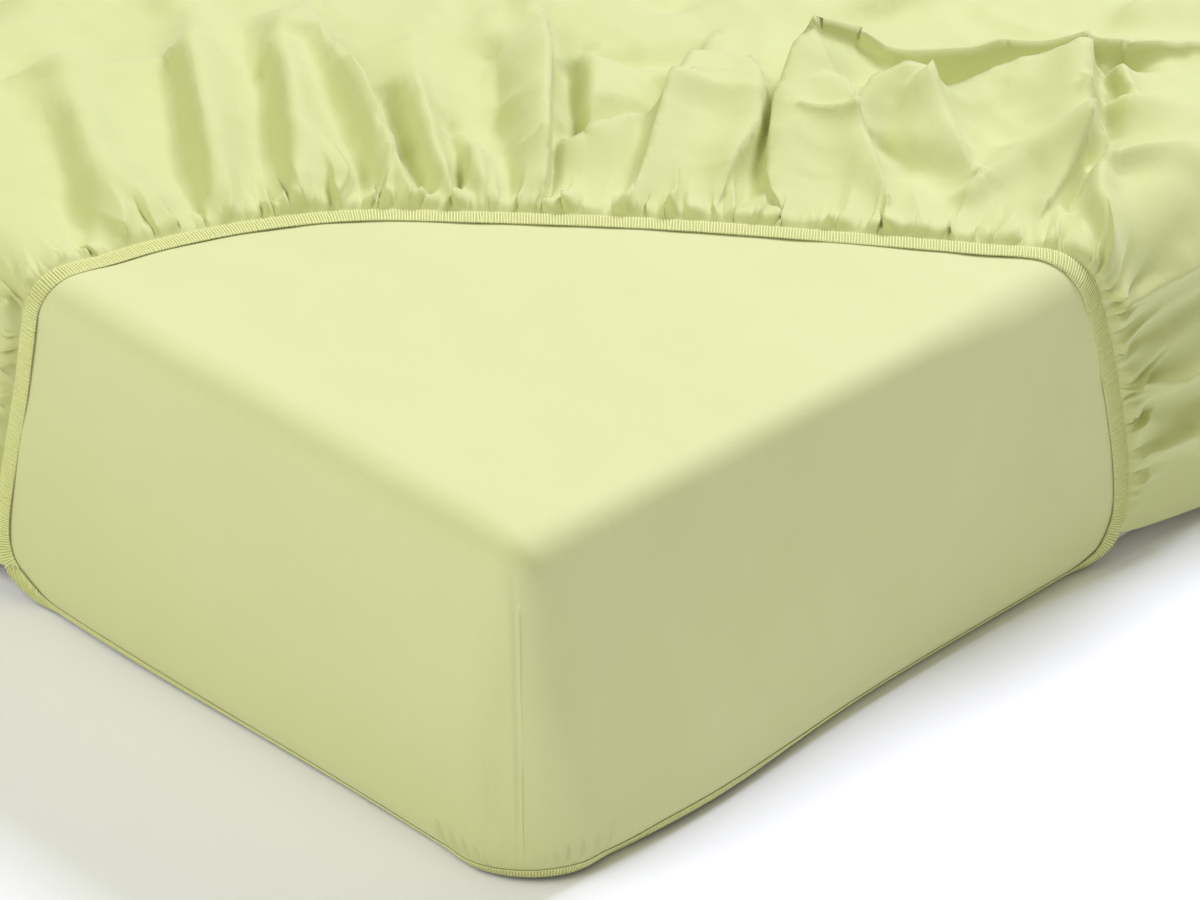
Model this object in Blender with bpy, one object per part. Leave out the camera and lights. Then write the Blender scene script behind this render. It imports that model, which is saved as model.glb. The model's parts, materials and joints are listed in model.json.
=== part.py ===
"""A fitted sheet hooked over one corner of a plain single mattress.

The rest of the sheet is turned back, so its elastic edge climbs one long side,
crosses the top and goes down the short end. Beyond it the gathered cloth lies in folds.

Frame: origin at the middle of the mattress underside, +X along its length, +Z up, metres.
Every point of the cloth is named by a place (x, y) on the mattress rolled out flat
and by a height above the mattress skin.
"""
import math

import bmesh
import bpy
import numpy as np
from mathutils import Vector
from mathutils.geometry import delaunay_2d_cdt

# Mattress
LENGTH = 2.00
WIDTH = 1.00
HEIGHT = 0.30
CORNER_R = 0.085
EDGE_R = 0.03
CORNER_STEPS = 8
EDGE_STEPS = 5
BOX_CORNERS = ((1, 1, 0.0), (-1, 1, 90.0), (-1, -1, 180.0), (1, -1, 270.0))

# Cloth
CLOTH_T = 0.002
FLAT_GAP = 0.0005
EDGE_GAP = 0.002
EDGE_GAP_FROM = 0.035
EDGE_GAP_OVER = 0.030
LAYER_GAP = 0.0012

# Elastic edge
TAPE_W = 0.015
TAPE_T = 0.0028
TAPE_GAP = 0.0005
TAPE_DIP_NEAR = 0.0010
TAPE_DIP_UNDER = 0.0015
TAPE_THINNER_RIM = 0.0006
TAPE_TURN_FROM = 0.002
TAPE_TURN_OVER = 0.004
TAPE_STEP = 0.014
TAPE_STEP_ROUND = 0.006
FOOT_REACH = 0.052
FOOT_OVER = 0.026
FOOT_LIFT = 0.0018

# Rolled-out distances from the flat core of the mattress
CORE_X = LENGTH / 2 - CORNER_R
CORE_Y = WIDTH / 2 - CORNER_R
LIP = CORNER_R - EDGE_R
ROLL_END = LIP + EDGE_R * math.pi / 2
FACE_END = ROLL_END + HEIGHT - 2 * EDGE_R
HEM_TURN = 37
BEND_TURN = 14
ROLL_TURNS = (0, 22.5, 45, 67.5, 90)
HEM_Q = FACE_END + EDGE_R * math.radians(HEM_TURN)
FOLD_Q = FACE_END + EDGE_R * math.radians(BEND_TURN)
ROLL_LINES = [LIP + EDGE_R * math.radians(a) for a in ROLL_TURNS]

# Edge radii of the taut cloth, which stands a little off the rounder mattress
SIDE_EDGE_R = 0.013
END_EDGE_R = 0.028
SOFTEN_FROM_X = -0.62
SOFTEN_OVER = 0.17
SEAM_R_TOP = 0.016
SEAM_R_FOOT = 0.076
SEAM_R_GROWTH = 0.7
EDGE_BLEND = 0.02
MOST_LIFT = 0.08
HALVINGS = 22

# Slack of the cloth low on the two faces: height, middle and half length along the face
SLACK_FROM = 0.16
SLACK_SIDE = 0.012
SLACK_SIDE_X = -0.82
SLACK_SIDE_REACH = 0.13
SLACK_END = 0.010
SLACK_END_Y = 0.00
SLACK_END_REACH = 0.24
TUCK_LESS = 0.0105
TUCK_MOST = 1.35

# Turned-back cloth
GATHER_START = TAPE_W / 2 + 0.002
RISE_QUICK = 0.0045
RISE_QUICK_LENGTH = 0.005
RISE_TOP = 0.026
RISE_SIDE = 0.013
RISE_LENGTH = 0.075
RISE_POWER = 1.3
RISE_LEAST = 0.35
FOLD_START = 0.03
FOLD_FADE = 0.06
BEND_R_END = 0.0018
BEND_R_MID = 0.008
BEND_GROW = 0.15
BEND_STEPS = 4
PUCKER = 0.0035
PUCKER_REACH = 0.05
PUCKER_START = 0.008
PUCKER_WAVES = ((151, 97), (83, -139))

# Point spacings of the cloth
SPAN_POINTS = 24
HEM_STEP = 0.018
FOOT_STEP = 0.035
ROUND_STEP = 0.0118
BACK_STEP = 0.045
FINE_STEP = 0.019
ROLL_STEP = 0.0285
COARSE_STEP = 0.055
INNER_STEP = 0.085
SEEN_REACH = 0.33
ROLL_MARGIN = 0.012
OUTER_ROLL_MARGIN = 0.01
HEM_ROWS = (0.0, 0.012)
HEM_ROWS_REACH = 0.020
HEM_ROW_MARGIN = 0.007
FACE_ROWS = (0.08, 0.16)
FACE_ROW_STEP = 0.05
FACE_ROW_MARGIN = 0.006
FOOT_ROWS = (-0.004, 0.009)
FOOT_ROW_STEP = 0.02
FOOT_ROW_MARGIN = 0.004
ROW_END_X = 0.70
ROW_END_Y = 0.60
ROW_TURN_STEPS = 7
INNER_FROM = (-1.0, -0.5)
OUTER_FROM = (-1.3, -0.8)
GRID_TO = (0.5, 0.5)
INNER_TOP_MARGIN = 0.03
INNER_MARGIN = 0.04
OUTER_MARGIN = 0.012
CLOSEST = 0.86
CLOSEST_TO_RIM = 0.6
CELL = 0.03
FILL_INSIDE = 1
FILL_TOLERANCE = 1e-7

# Elastic edge from its foot on the long side, over the top, to its foot on the short end
HEM_POINTS = [
    # (x, y) on the rolled-out mattress
    (-0.343, -0.755),
    (-0.337, -0.740),
    (-0.338, -0.702),
    (-0.364, -0.598),
    (-0.395, -0.514),
    (-0.427, -0.459),
    (-0.502, -0.352),
    (-0.596, -0.227),
    (-0.689, -0.121),
    (-0.754, -0.054),
    (-0.821, -0.012),
    (-0.897, 0.016),
    (-0.974, 0.030),
    (-1.060, 0.052),
    (-1.160, 0.078),
    (-1.225, 0.090),
    (-1.242, 0.088),
    (-1.256, 0.081),
]

# Foot turns that join the climbing part of the edge to the part tucked under the faces
SIDE_TURN = [
    # (x, lift above the tucked hem)
    (-0.400, 0.0),
    (-0.376, 0.0005),
    (-0.357, 0.006),
]
END_TURN = [
    # (y, lift above the tucked hem)
    (0.069, 0.006),
    (0.052, 0.0005),
    (0.030, 0.0),
]

# Places along the two tucked feet and turns round the corner, between the foot turns
END_FOOT_Y = (-0.05, -0.15, -0.25, -0.35)
CORNER_TURNS = (0, 15, 30, 45, 60, 75, 90)
SIDE_FOOT_X = (-0.86, -0.76, -0.66, -0.56, -0.46)

# Bend where the sheet is turned back, from the side foot round to the end foot
BEND_POINTS = [
    # (x, y) on the rolled-out mattress
    (-0.343, -0.755),
    (-0.310, -CORE_Y - FOLD_Q + 0.003),
    (-0.240, -CORE_Y - FOLD_Q),
    (0.000, -CORE_Y - FOLD_Q),
    (0.260, -CORE_Y - FOLD_Q),
    (0.370, -CORE_Y - FOLD_Q + 0.010),
    (0.430, -0.710),
    (0.450, -0.620),
    (0.452, -0.500),
    (0.458, -0.380),
    (0.445, -0.200),
    (0.425, 0.000),
    (0.385, 0.190),
    (0.300, 0.340),
    (0.180, 0.420),
    (0.000, 0.446),
    (-0.300, 0.452),
    (-0.600, 0.446),
    (-0.850, 0.440),
    (-0.960, 0.432),
    (-1.060, 0.425),
    (-1.160, 0.418),
    (-1.225, 0.400),
    (-CORE_X - FOLD_Q + 0.004, 0.360),
    (-CORE_X - FOLD_Q, 0.300),
    (-CORE_X - FOLD_Q, 0.200),
    (-CORE_X - FOLD_Q + 0.001, 0.130),
    (-1.256, 0.081),
]

# Folds of the turned-back cloth, each along a crest on the rolled-out mattress
FOLDS = [
    # left flank, right flank, (x, y, height in mm) along the crest
    (0.022, 0.035, (-0.910, 0.030, 4), (-0.885, 0.090, 9), (-0.830, 0.200, 9), (-0.780, 0.300, 4)),
    (0.020, 0.012, (-0.945, 0.045, -5), (-0.905, 0.115, -9), (-0.860, 0.190, -4)),
    (0.012, 0.030, (-0.830, 0.270, 5), (-0.775, 0.230, 7), (-0.720, 0.210, 4)),
    (0.018, 0.020, (-0.885, 0.025, 5), (-0.870, 0.055, 8), (-0.870, 0.085, 4)),
    (0.010, 0.035, (-0.830, 0.020, 5), (-0.790, 0.080, 14), (-0.745, 0.145, 16), (-0.705, 0.205, 12),
     (-0.660, 0.260, 5)),
    (0.020, 0.008, (-0.832, 0.042, -4), (-0.785, 0.122, -8), (-0.735, 0.195, -5)),
    (0.010, 0.022, (-0.785, -0.030, 5), (-0.730, 0.045, 13), (-0.690, 0.100, 15), (-0.650, 0.160, 13),
     (-0.610, 0.210, 6)),
    (0.018, 0.008, (-0.780, -0.005, -4), (-0.732, 0.073, -8), (-0.680, 0.140, -5)),
    (0.014, 0.006, (-0.760, -0.055, 5), (-0.738, -0.018, 9), (-0.720, 0.020, 4)),
    (0.014, 0.012, (-0.732, -0.046, -5), (-0.697, 0.022, -9), (-0.635, 0.155, -7)),
    (0.030, 0.006, (-0.717, -0.082, 6), (-0.686, -0.004, 14), (-0.654, 0.060, 17), (-0.622, 0.140, 14),
     (-0.580, 0.200, 6)),
    (0.008, 0.018, (-0.702, -0.088, -5), (-0.670, -0.014, -9), (-0.630, 0.055, -5)),
    (0.016, 0.008, (-0.694, -0.100, 5), (-0.658, -0.038, 12), (-0.620, 0.015, 12), (-0.590, 0.058, 8)),
    (0.008, 0.010, (-0.674, -0.098, -4), (-0.640, -0.045, -8), (-0.615, -0.002, -4)),
    (0.014, 0.012, (-0.675, -0.124, 5), (-0.642, -0.074, 11), (-0.628, -0.034, 7)),
    (0.022, 0.008, (-0.652, -0.118, -4), (-0.585, -0.036, -9), (-0.518, 0.042, -6)),
    (0.030, 0.004, (-0.654, -0.163, 4), (-0.597, -0.100, 15), (-0.508, -0.007, 18), (-0.450, 0.055, 8)),
    (0.005, 0.007, (-0.640, -0.155, -5), (-0.600, -0.115, -7), (-0.565, -0.078, -4)),
    (0.009, 0.012, (-0.550, -0.092, -7), (-0.485, -0.015, -7)),
    (0.010, 0.025, (-0.555, -0.115, 4), (-0.510, -0.070, 9), (-0.465, -0.022, 8)),
    (0.004, 0.035, (-0.590, -0.105, 6), (-0.573, -0.119, 9), (-0.529, -0.124, 9), (-0.462, -0.132, 6)),
    (0.020, 0.005, (-0.560, -0.095, -4), (-0.520, -0.105, -6), (-0.465, -0.112, -4)),
    (0.005, 0.030, (-0.602, -0.204, 4), (-0.556, -0.182, 9), (-0.500, -0.150, 12), (-0.449, -0.118, 13),
     (-0.409, -0.093, 11), (-0.370, -0.070, 5)),
    (0.012, 0.005, (-0.580, -0.180, -3), (-0.500, -0.128, -6), (-0.455, -0.098, -6)),
    (0.028, 0.006, (-0.530, -0.237, 4), (-0.512, -0.225, 8), (-0.454, -0.198, 11), (-0.421, -0.171, 12),
     (-0.396, -0.141, 9)),
    (0.020, 0.020, (-0.457, -0.025, -8), (-0.395, -0.077, -8)),
    (0.010, 0.012, (-0.530, -0.262, -5), (-0.480, -0.228, -10), (-0.435, -0.195, -10), (-0.395, -0.165, -6)),
    (0.005, 0.045, (-0.505, -0.270, 4), (-0.492, -0.254, 7), (-0.431, -0.207, 15), (-0.373, -0.176, 19),
     (-0.354, -0.174, 19)),
    (0.020, 0.005, (-0.449, -0.340, 5), (-0.432, -0.308, 8), (-0.399, -0.258, 10), (-0.380, -0.232, 9),
     (-0.355, -0.175, 4)),
    (0.006, 0.006, (-0.424, -0.228, 3), (-0.401, -0.258, 4)),
    (0.005, 0.030, (-0.387, -0.248, 4), (-0.355, -0.240, 8), (-0.336, -0.252, 9), (-0.327, -0.266, 6)),
    (0.032, 0.006, (-0.383, -0.378, 3), (-0.358, -0.327, 9), (-0.327, -0.266, 12)),
    (0.012, 0.020, (-0.396, -0.284, -8), (-0.400, -0.320, -10), (-0.392, -0.360, -8)),
    (0.020, 0.010, (-0.375, -0.215, -6), (-0.325, -0.222, -8), (-0.285, -0.262, -6)),
    (0.006, 0.050, (-0.322, -0.273, 6), (-0.252, -0.290, 10), (-0.200, -0.331, 12)),
    (0.045, 0.004, (-0.280, -0.398, 8), (-0.206, -0.336, 12)),
    (0.004, 0.020, (-0.262, -0.405, -6), (-0.204, -0.352, -10), (-0.166, -0.336, -8)),
    (0.020, 0.020, (-0.400, -0.382, 6), (-0.338, -0.380, 9), (-0.291, -0.408, 10)),
    (0.030, 0.005, (-0.365, -0.434, 4), (-0.330, -0.422, 8), (-0.290, -0.408, 10)),
    (0.004, 0.012, (-0.355, -0.446, -6), (-0.285, -0.420, -8)),
    (0.020, 0.006, (-0.354, -0.174, 8), (-0.310, -0.184, 12), (-0.302, -0.208, 10), (-0.224, -0.265, 12),
     (-0.136, -0.335, 12), (-0.060, -0.400, 5)),
    (0.006, 0.014, (-0.300, -0.222, -5), (-0.235, -0.283, -7), (-0.160, -0.350, -6)),
    (0.012, 0.020, (-0.240, -0.368, 6), (-0.214, -0.399, 8), (-0.190, -0.430, 5)),
    (0.010, 0.014, (-0.204, -0.382, 8), (-0.172, -0.334, 6)),
    (0.010, 0.012, (-0.381, -0.503, 5), (-0.348, -0.471, 11), (-0.313, -0.440, 11)),
    (0.010, 0.014, (-0.300, -0.441, 9), (-0.275, -0.449, 8), (-0.240, -0.470, 6)),
    (0.009, 0.012, (-0.370, -0.535, 5), (-0.300, -0.520, 10), (-0.230, -0.515, 7)),
    (0.010, 0.010, (-0.350, -0.580, -5), (-0.220, -0.565, -7)),
    (0.008, 0.014, (-0.345, -0.615, 5), (-0.290, -0.630, 10), (-0.220, -0.625, 7)),
    (0.010, 0.010, (-0.335, -0.650, -5), (-0.220, -0.670, -7)),
    (0.008, 0.012, (-0.330, -0.690, 5), (-0.270, -0.690, 9), (-0.210, -0.705, 6)),
    (0.040, 0.040, (-0.650, 0.300, 12), (-0.450, 0.345, 16), (-0.250, 0.340, 10)),
    (0.020, 0.045, (-0.420, 0.100, 10), (-0.250, 0.200, 18), (0.050, 0.190, 12)),
    (0.040, 0.040, (-0.330, 0.020, -10), (-0.100, 0.050, -14), (0.250, 0.080, -8)),
    (0.040, 0.020, (-0.220, -0.130, 12), (0.050, -0.130, 18), (0.300, -0.060, 10)),
    (0.030, 0.045, (-0.080, -0.290, 14), (0.120, -0.330, 16), (0.300, -0.300, 10)),
    (0.035, 0.035, (-0.120, -0.560, 9), (0.100, -0.560, 12), (0.320, -0.600, 8)),
    (0.035, 0.035, (-0.950, 0.300, 8), (-0.700, 0.380, 12)),
    (0.025, 0.030, (-1.150, 0.150, 8), (-1.000, 0.190, 12), (-0.890, 0.260, 8)),
    (0.030, 0.030, (-1.180, 0.260, 12), (-1.000, 0.320, 10)),
]
FOLD_SCALE = 0.001
LEAST_FLANK = 0.014
FOLD_REACH = 3.0

CLOTH_COLOUR = (0.80, 0.82, 0.52, 1.0)
TAPE_COLOUR = (0.83, 0.86, 0.60, 1.0)
MATTRESS_COLOUR = (0.86, 0.86, 0.84, 1.0)


def smooth(t):
    """Soft step from 0 to 1."""
    t = min(max(t, 0.0), 1.0)
    return t * t * (3 - 2 * t)


def wrap(x, y, h):
    """Place a rolled-out point on the mattress, h above its skin."""
    cx = min(max(x, -CORE_X), CORE_X)
    cy = min(max(y, -CORE_Y), CORE_Y)
    q = math.hypot(x - cx, y - cy)
    if q < 1e-9:
        return Vector((x, y, HEIGHT + h))
    nx = (x - cx) / q
    ny = (y - cy) / q
    if q <= LIP:
        out = q
        z = HEIGHT + h
    elif q <= ROLL_END:
        turn = (q - LIP) / EDGE_R
        out = LIP + (EDGE_R + h) * math.sin(turn)
        z = HEIGHT - EDGE_R + (EDGE_R + h) * math.cos(turn)
    elif q <= FACE_END:
        out = CORNER_R + h
        z = HEIGHT - EDGE_R - (q - ROLL_END)
    else:
        turn = (q - FACE_END) / EDGE_R
        out = LIP + (EDGE_R + h) * math.cos(turn)
        z = EDGE_R - (EDGE_R + h) * math.sin(turn)
    return Vector((cx + nx * out, cy + ny * out, z))


def core_distance(p):
    """Rolled-out distance of a point from the flat core."""
    dx = max(abs(p[0]) - CORE_X, 0.0)
    dy = max(abs(p[1]) - CORE_Y, 0.0)
    return math.hypot(dx, dy)


def spline(points, closed=False):
    """Dense smooth curve through the points."""
    pts = [np.array(p, dtype=float) for p in points]
    n = len(pts)
    spans = n if closed else n - 1
    out = []
    for i in range(spans):
        p1 = pts[i]
        p2 = pts[(i + 1) % n]
        p0 = pts[i - 1] if closed or i > 0 else 2 * p1 - p2
        p3 = pts[(i + 2) % n] if closed or i + 2 < n else 2 * p2 - p1
        k1 = max(np.linalg.norm(p1 - p0), 1e-6) ** 0.5
        k2 = max(np.linalg.norm(p2 - p1), 1e-6) ** 0.5
        k3 = max(np.linalg.norm(p3 - p2), 1e-6) ** 0.5
        for step in range(SPAN_POINTS):
            t = k1 + k2 * step / SPAN_POINTS
            a1 = (p0 * (k1 - t) + p1 * t) / k1
            a2 = (p1 * (k1 + k2 - t) + p2 * (t - k1)) / k2
            a3 = (p2 * (k1 + k2 + k3 - t) + p3 * (t - k1 - k2)) / k3
            b1 = (a1 * (k1 + k2 - t) + a2 * t) / (k1 + k2)
            b2 = (a2 * (k1 + k2 + k3 - t) + a3 * (t - k1)) / (k2 + k3)
            out.append((b1 * (k1 + k2 - t) + b2 * (t - k1)) / k2)
    if not closed:
        out.append(pts[-1])
    return np.array(out)


def in_roll(p):
    """True where a point lies on or beside the rounded top edge."""
    return LIP - ROLL_MARGIN < core_distance(p) < ROLL_END + ROLL_MARGIN


def resample(curve, step, round_step, closed=False):
    """Points along a curve, closer together where it crosses the rounded top edge."""
    line = np.vstack([curve, curve[:1]]) if closed else curve
    gaps = np.linalg.norm(np.diff(line, axis=0), axis=1)
    middle = (line[1:] + line[:-1]) / 2
    pace = np.array([gap / (round_step if in_roll(m) else step) for gap, m in zip(gaps, middle)])
    total = np.concatenate([[0.0], np.cumsum(pace)])
    count = max(int(round(total[-1])), 2)
    marks = np.linspace(0.0, total[-1], count + 1)
    if closed:
        marks = marks[:-1]
    return np.stack([np.interp(marks, total, line[:, 0]), np.interp(marks, total, line[:, 1])], axis=1)


def polyline_distance(p, line):
    """Distance from a point to a polyline."""
    a = line[:-1]
    d = line[1:] - a
    t = np.clip(np.sum((p - a) * d, axis=1) / np.maximum(np.sum(d * d, axis=1), 1e-12), 0.0, 1.0)
    near = a + d * t[:, None]
    return float(np.min(np.hypot(near[:, 0] - p[0], near[:, 1] - p[1])))


def inside(p, polygon):
    """True when a point is inside a closed polygon."""
    x = polygon[:, 0]
    y = polygon[:, 1]
    x2 = np.roll(x, -1)
    y2 = np.roll(y, -1)
    crosses = (y > p[1]) != (y2 > p[1])
    safe = np.where(y2 == y, 1.0, y2 - y)
    hits = crosses & (p[0] < (x2 - x) * (p[1] - y) / safe + x)
    return int(np.sum(hits)) % 2 == 1


def taut_lift(x, y, gap):
    """Height at which the taut cloth, with its own sharper edges, passes over a mattress point."""
    q = core_distance((x, y))
    if q <= 0.0:
        return gap
    if q > FACE_END:
        cx = min(max(x, -CORE_X), CORE_X)
        cy = min(max(y, -CORE_Y), CORE_Y)
        x = cx + (x - cx) * FACE_END / q
        y = cy + (y - cy) * FACE_END / q
    start = wrap(x, y, 0.0)
    step = wrap(x, y, 1.0) - start
    low = 0.0
    high = MOST_LIFT
    for _ in range(HALVINGS):
        middle = (low + high) / 2
        if cloth_side(start + step * middle, gap) > 0:
            high = middle
        else:
            low = middle
    return (low + high) / 2


def cloth_side(p, gap):
    """Below zero inside the taut cloth, above zero outside it."""
    out = (-LENGTH / 2 - p.x, -WIDTH / 2 - p.y, p.z - HEIGHT)
    blend = EDGE_BLEND ** 2
    near_side = 1 / (blend + out[1] ** 2 + out[2] ** 2)
    near_end = 1 / (blend + out[0] ** 2 + out[2] ** 2)
    near_seam = 1 / (blend + out[0] ** 2 + out[1] ** 2)
    seam_r = SEAM_R_TOP + (SEAM_R_FOOT - SEAM_R_TOP) * smooth(-out[2] / HEIGHT) ** SEAM_R_GROWTH
    side_r = SIDE_EDGE_R + (END_EDGE_R - SIDE_EDGE_R) * smooth((p.x - SOFTEN_FROM_X) / SOFTEN_OVER)
    r = near_side * side_r + near_end * END_EDGE_R + near_seam * seam_r
    r /= near_side + near_end + near_seam
    return math.sqrt(sum(max(d + r, 0.0) ** 2 for d in out)) - r - gap


def slack(x, y):
    """How far the loose cloth stands off low on the two faces."""
    dx = max(-CORE_X - x, 0.0)
    dy = max(-CORE_Y - y, 0.0)
    q = math.hypot(dx, dy)
    lower = smooth((q - SLACK_FROM) / (FACE_END - SLACK_FROM))
    if lower == 0.0:
        return 0.0
    on_side = (dy / q) ** 2 * math.exp(-((max(x, -CORE_X) - SLACK_SIDE_X) / SLACK_SIDE_REACH) ** 2)
    on_end = (dx / q) ** 2 * math.exp(-((max(y, -CORE_Y) - SLACK_END_Y) / SLACK_END_REACH) ** 2)
    return lower * (SLACK_SIDE * on_side + SLACK_END * on_end)


def inner_height(p):
    """Height of the smooth layer that hugs the mattress."""
    near_edge = smooth((core_distance(p) - LIP + EDGE_GAP_FROM) / EDGE_GAP_OVER)
    gap = FLAT_GAP + (EDGE_GAP - FLAT_GAP) * near_edge
    return CLOTH_T / 2 + taut_lift(p[0], p[1], gap) + slack(p[0], p[1])


def fold_height(p):
    """Sum of the hand-placed folds at a point, each measured from its nearest crest point."""
    total = 0.0
    for left, right, *crest in FOLDS:
        nearest = FOLD_REACH * max(left, right, LEAST_FLANK)
        part = 0.0
        for a, b in zip(crest[:-1], crest[1:]):
            dx = b[0] - a[0]
            dy = b[1] - a[1]
            t = ((p[0] - a[0]) * dx + (p[1] - a[1]) * dy) / (dx * dx + dy * dy)
            t = min(max(t, 0.0), 1.0)
            away = math.hypot(p[0] - a[0] - dx * t, p[1] - a[1] - dy * t)
            if away < nearest:
                nearest = away
                on_left = (p[0] - a[0]) * -dy + (p[1] - a[1]) * dx > 0
                flank = max(left if on_left else right, LEAST_FLANK)
                part = FOLD_SCALE * (a[2] + (b[2] - a[2]) * t) * math.exp(-(away / flank) ** 2)
        total += part
    return total


def outer_height(p, hem, bend, bend_radius):
    """Height of the turned-back layer: low at the hem, a loose heap further on."""
    d = polyline_distance(p, hem)
    e = polyline_distance(p, bend)
    beyond = max(d - GATHER_START, 0.0)
    on_side = smooth((core_distance(p) - LIP) / (ROLL_END - LIP))
    heap = RISE_TOP + (RISE_SIDE - RISE_TOP) * on_side
    quick = RISE_QUICK * (1 - math.exp(-beyond / RISE_QUICK_LENGTH))
    rise = quick + heap * (1 - math.exp(-(beyond / RISE_LENGTH) ** RISE_POWER))
    pucker = PUCKER
    for wave_x, wave_y in PUCKER_WAVES:
        pucker *= math.sin(p[0] * wave_x + p[1] * wave_y)
    rise += pucker * math.exp(-beyond / PUCKER_REACH) * smooth(beyond / PUCKER_START)
    rise += fold_height(p) * smooth(beyond / FOLD_START)
    rise = max(rise, RISE_LEAST * quick)
    near_bend = smooth(e / FOLD_FADE)
    at_hem = CLOTH_T + LAYER_GAP
    at_bend = 2 * bend_radius
    return inner_height(p) + at_hem + (at_bend - at_hem) * (1 - near_bend) + rise * near_bend


def bend_radii(bend):
    """Bend radius at each point of the turned-back bend, tight at both feet."""
    steps = np.linalg.norm(np.diff(bend, axis=0), axis=1)
    run = np.concatenate([[0.0], np.cumsum(steps)])
    radii = []
    for s in run:
        grow = smooth(min(s, run[-1] - s) / BEND_GROW)
        radii.append(BEND_R_END + (BEND_R_MID - BEND_R_END) * grow)
    return radii


def roll_rows(polygon, margin, step, lines):
    """Rows of points along the rounded top edges, inside a polygon."""
    rows = []
    ring = np.vstack([polygon, polygon[:1]])
    for q in lines:
        row = []
        for y in np.arange(ROW_END_Y, -CORE_Y, -step):
            row.append((-CORE_X - q, y))
        for a in np.linspace(0.0, math.pi / 2, ROW_TURN_STEPS):
            row.append((-CORE_X - q * math.cos(a), -CORE_Y - q * math.sin(a)))
        for x in np.arange(-CORE_X + step, ROW_END_X, step):
            row.append((x, -CORE_Y - q))
        part = []
        for p in row:
            if inside(p, polygon) and polyline_distance(np.array(p), ring) > margin:
                part.append(p)
            elif part:
                rows.append(part)
                part = []
        if part:
            rows.append(part)
    return rows


def triangulate(polygon, rows, loose):
    """Triangles that fill a polygon and keep the rows as edges."""
    coords = [Vector((p[0], p[1])) for p in polygon]
    edges = []
    for row in rows:
        start = len(coords)
        coords.extend(Vector((p[0], p[1])) for p in row)
        edges.extend((start + i, start + i + 1) for i in range(len(row) - 1))
    coords.extend(Vector((p[0], p[1])) for p in loose)
    face = list(range(len(polygon)))
    result = delaunay_2d_cdt(coords, edges, [face], FILL_INSIDE, FILL_TOLERANCE, True)
    verts = [(v.x, v.y) for v in result[0]]
    tris = []
    for f in result[2]:
        middle = (sum(verts[k][0] for k in f) / len(f), sum(verts[k][1] for k in f) / len(f))
        if inside(middle, polygon):
            tris.append(tuple(f))
    place = {}
    for new, olds in enumerate(result[3]):
        for old in olds:
            place[old] = new
    return verts, tris, [place[i] for i in face]


def loose_points(polygon, taken, spacing, margin):
    """Grid points inside a polygon, kept a local spacing apart."""
    ring = np.vstack([polygon, polygon[:1]])
    kept = [np.array(p) for p in taken]
    table = {}

    def key(p):
        return (int(math.floor(p[0] / CELL)), int(math.floor(p[1] / CELL)))

    for p in kept:
        table.setdefault(key(p), []).append(p)

    def clear(p, gap):
        k = key(p)
        reach = int(math.ceil(gap / CELL))
        for i in range(k[0] - reach, k[0] + reach + 1):
            for j in range(k[1] - reach, k[1] + reach + 1):
                for other in table.get((i, j), []):
                    if math.hypot(other[0] - p[0], other[1] - p[1]) < gap:
                        return False
        return True

    out = []

    def offer(p):
        if not inside(p, polygon):
            return
        gap = spacing(p)
        if gap <= 0 or not clear(p, gap * CLOSEST):
            return
        if polyline_distance(np.array(p), ring) < min(margin, gap * CLOSEST_TO_RIM):
            return
        table.setdefault(key(p), []).append(p)
        out.append(p)

    return out, offer


def offer_grid(offer, low, high, step):
    """Offer the points of a triangular grid."""
    row_gap = step * math.sqrt(3) / 2
    rows = int((high[1] - low[1]) / row_gap)
    cols = int((high[0] - low[0]) / step)
    for r in range(rows):
        for c in range(cols):
            offer((low[0] + (c + 0.5 * (r % 2)) * step, low[1] + r * row_gap))


def material(name, colour, roughness):
    """Plain material of one colour."""
    mat = bpy.data.materials.new(name)
    mat.use_nodes = True
    shader = mat.node_tree.nodes["Principled BSDF"]
    shader.inputs["Base Color"].default_value = colour
    shader.inputs["Roughness"].default_value = roughness
    return mat


def add_object(name, verts, faces, mat):
    """Make one named object from points and faces."""
    mesh = bpy.data.meshes.new(name)
    mesh.from_pydata([tuple(v) for v in verts], [], faces)
    mesh.validate()
    work = bmesh.new()
    work.from_mesh(mesh)
    bmesh.ops.recalc_face_normals(work, faces=work.faces)
    work.to_mesh(mesh)
    work.free()
    mesh.materials.append(mat)
    obj = bpy.data.objects.new(name, mesh)
    bpy.context.scene.collection.objects.link(obj)
    return obj


def build_mattress():
    """Plain block with rounded corners and edges and a flat underside."""
    profile = []
    for i in range(EDGE_STEPS + 1):
        a = math.pi / 2 * i / EDGE_STEPS
        profile.append((LIP + EDGE_R * math.sin(a), EDGE_R - EDGE_R * math.cos(a)))
    for i in range(EDGE_STEPS + 1):
        a = math.pi / 2 * i / EDGE_STEPS
        profile.append((LIP + EDGE_R * math.cos(a), HEIGHT - EDGE_R + EDGE_R * math.sin(a)))
    corners = [(CORE_X * sx, CORE_Y * sy, start) for sx, sy, start in BOX_CORNERS]
    verts = []
    for out, z in profile:
        for cx, cy, start in corners:
            for k in range(CORNER_STEPS + 1):
                a = math.radians(start + 90.0 * k / CORNER_STEPS)
                verts.append((cx + out * math.cos(a), cy + out * math.sin(a), z))
    ring = 4 * (CORNER_STEPS + 1)
    faces = [tuple(reversed(range(ring)))]
    for level in range(len(profile) - 1):
        for k in range(ring):
            a = level * ring + k
            b = level * ring + (k + 1) % ring
            faces.append((a, b, b + ring, a + ring))
    top = (len(profile) - 1) * ring
    faces.append(tuple(range(top, top + ring)))
    return add_object("mattress", verts, faces, material("ticking", MATTRESS_COLOUR, 0.8))


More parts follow.
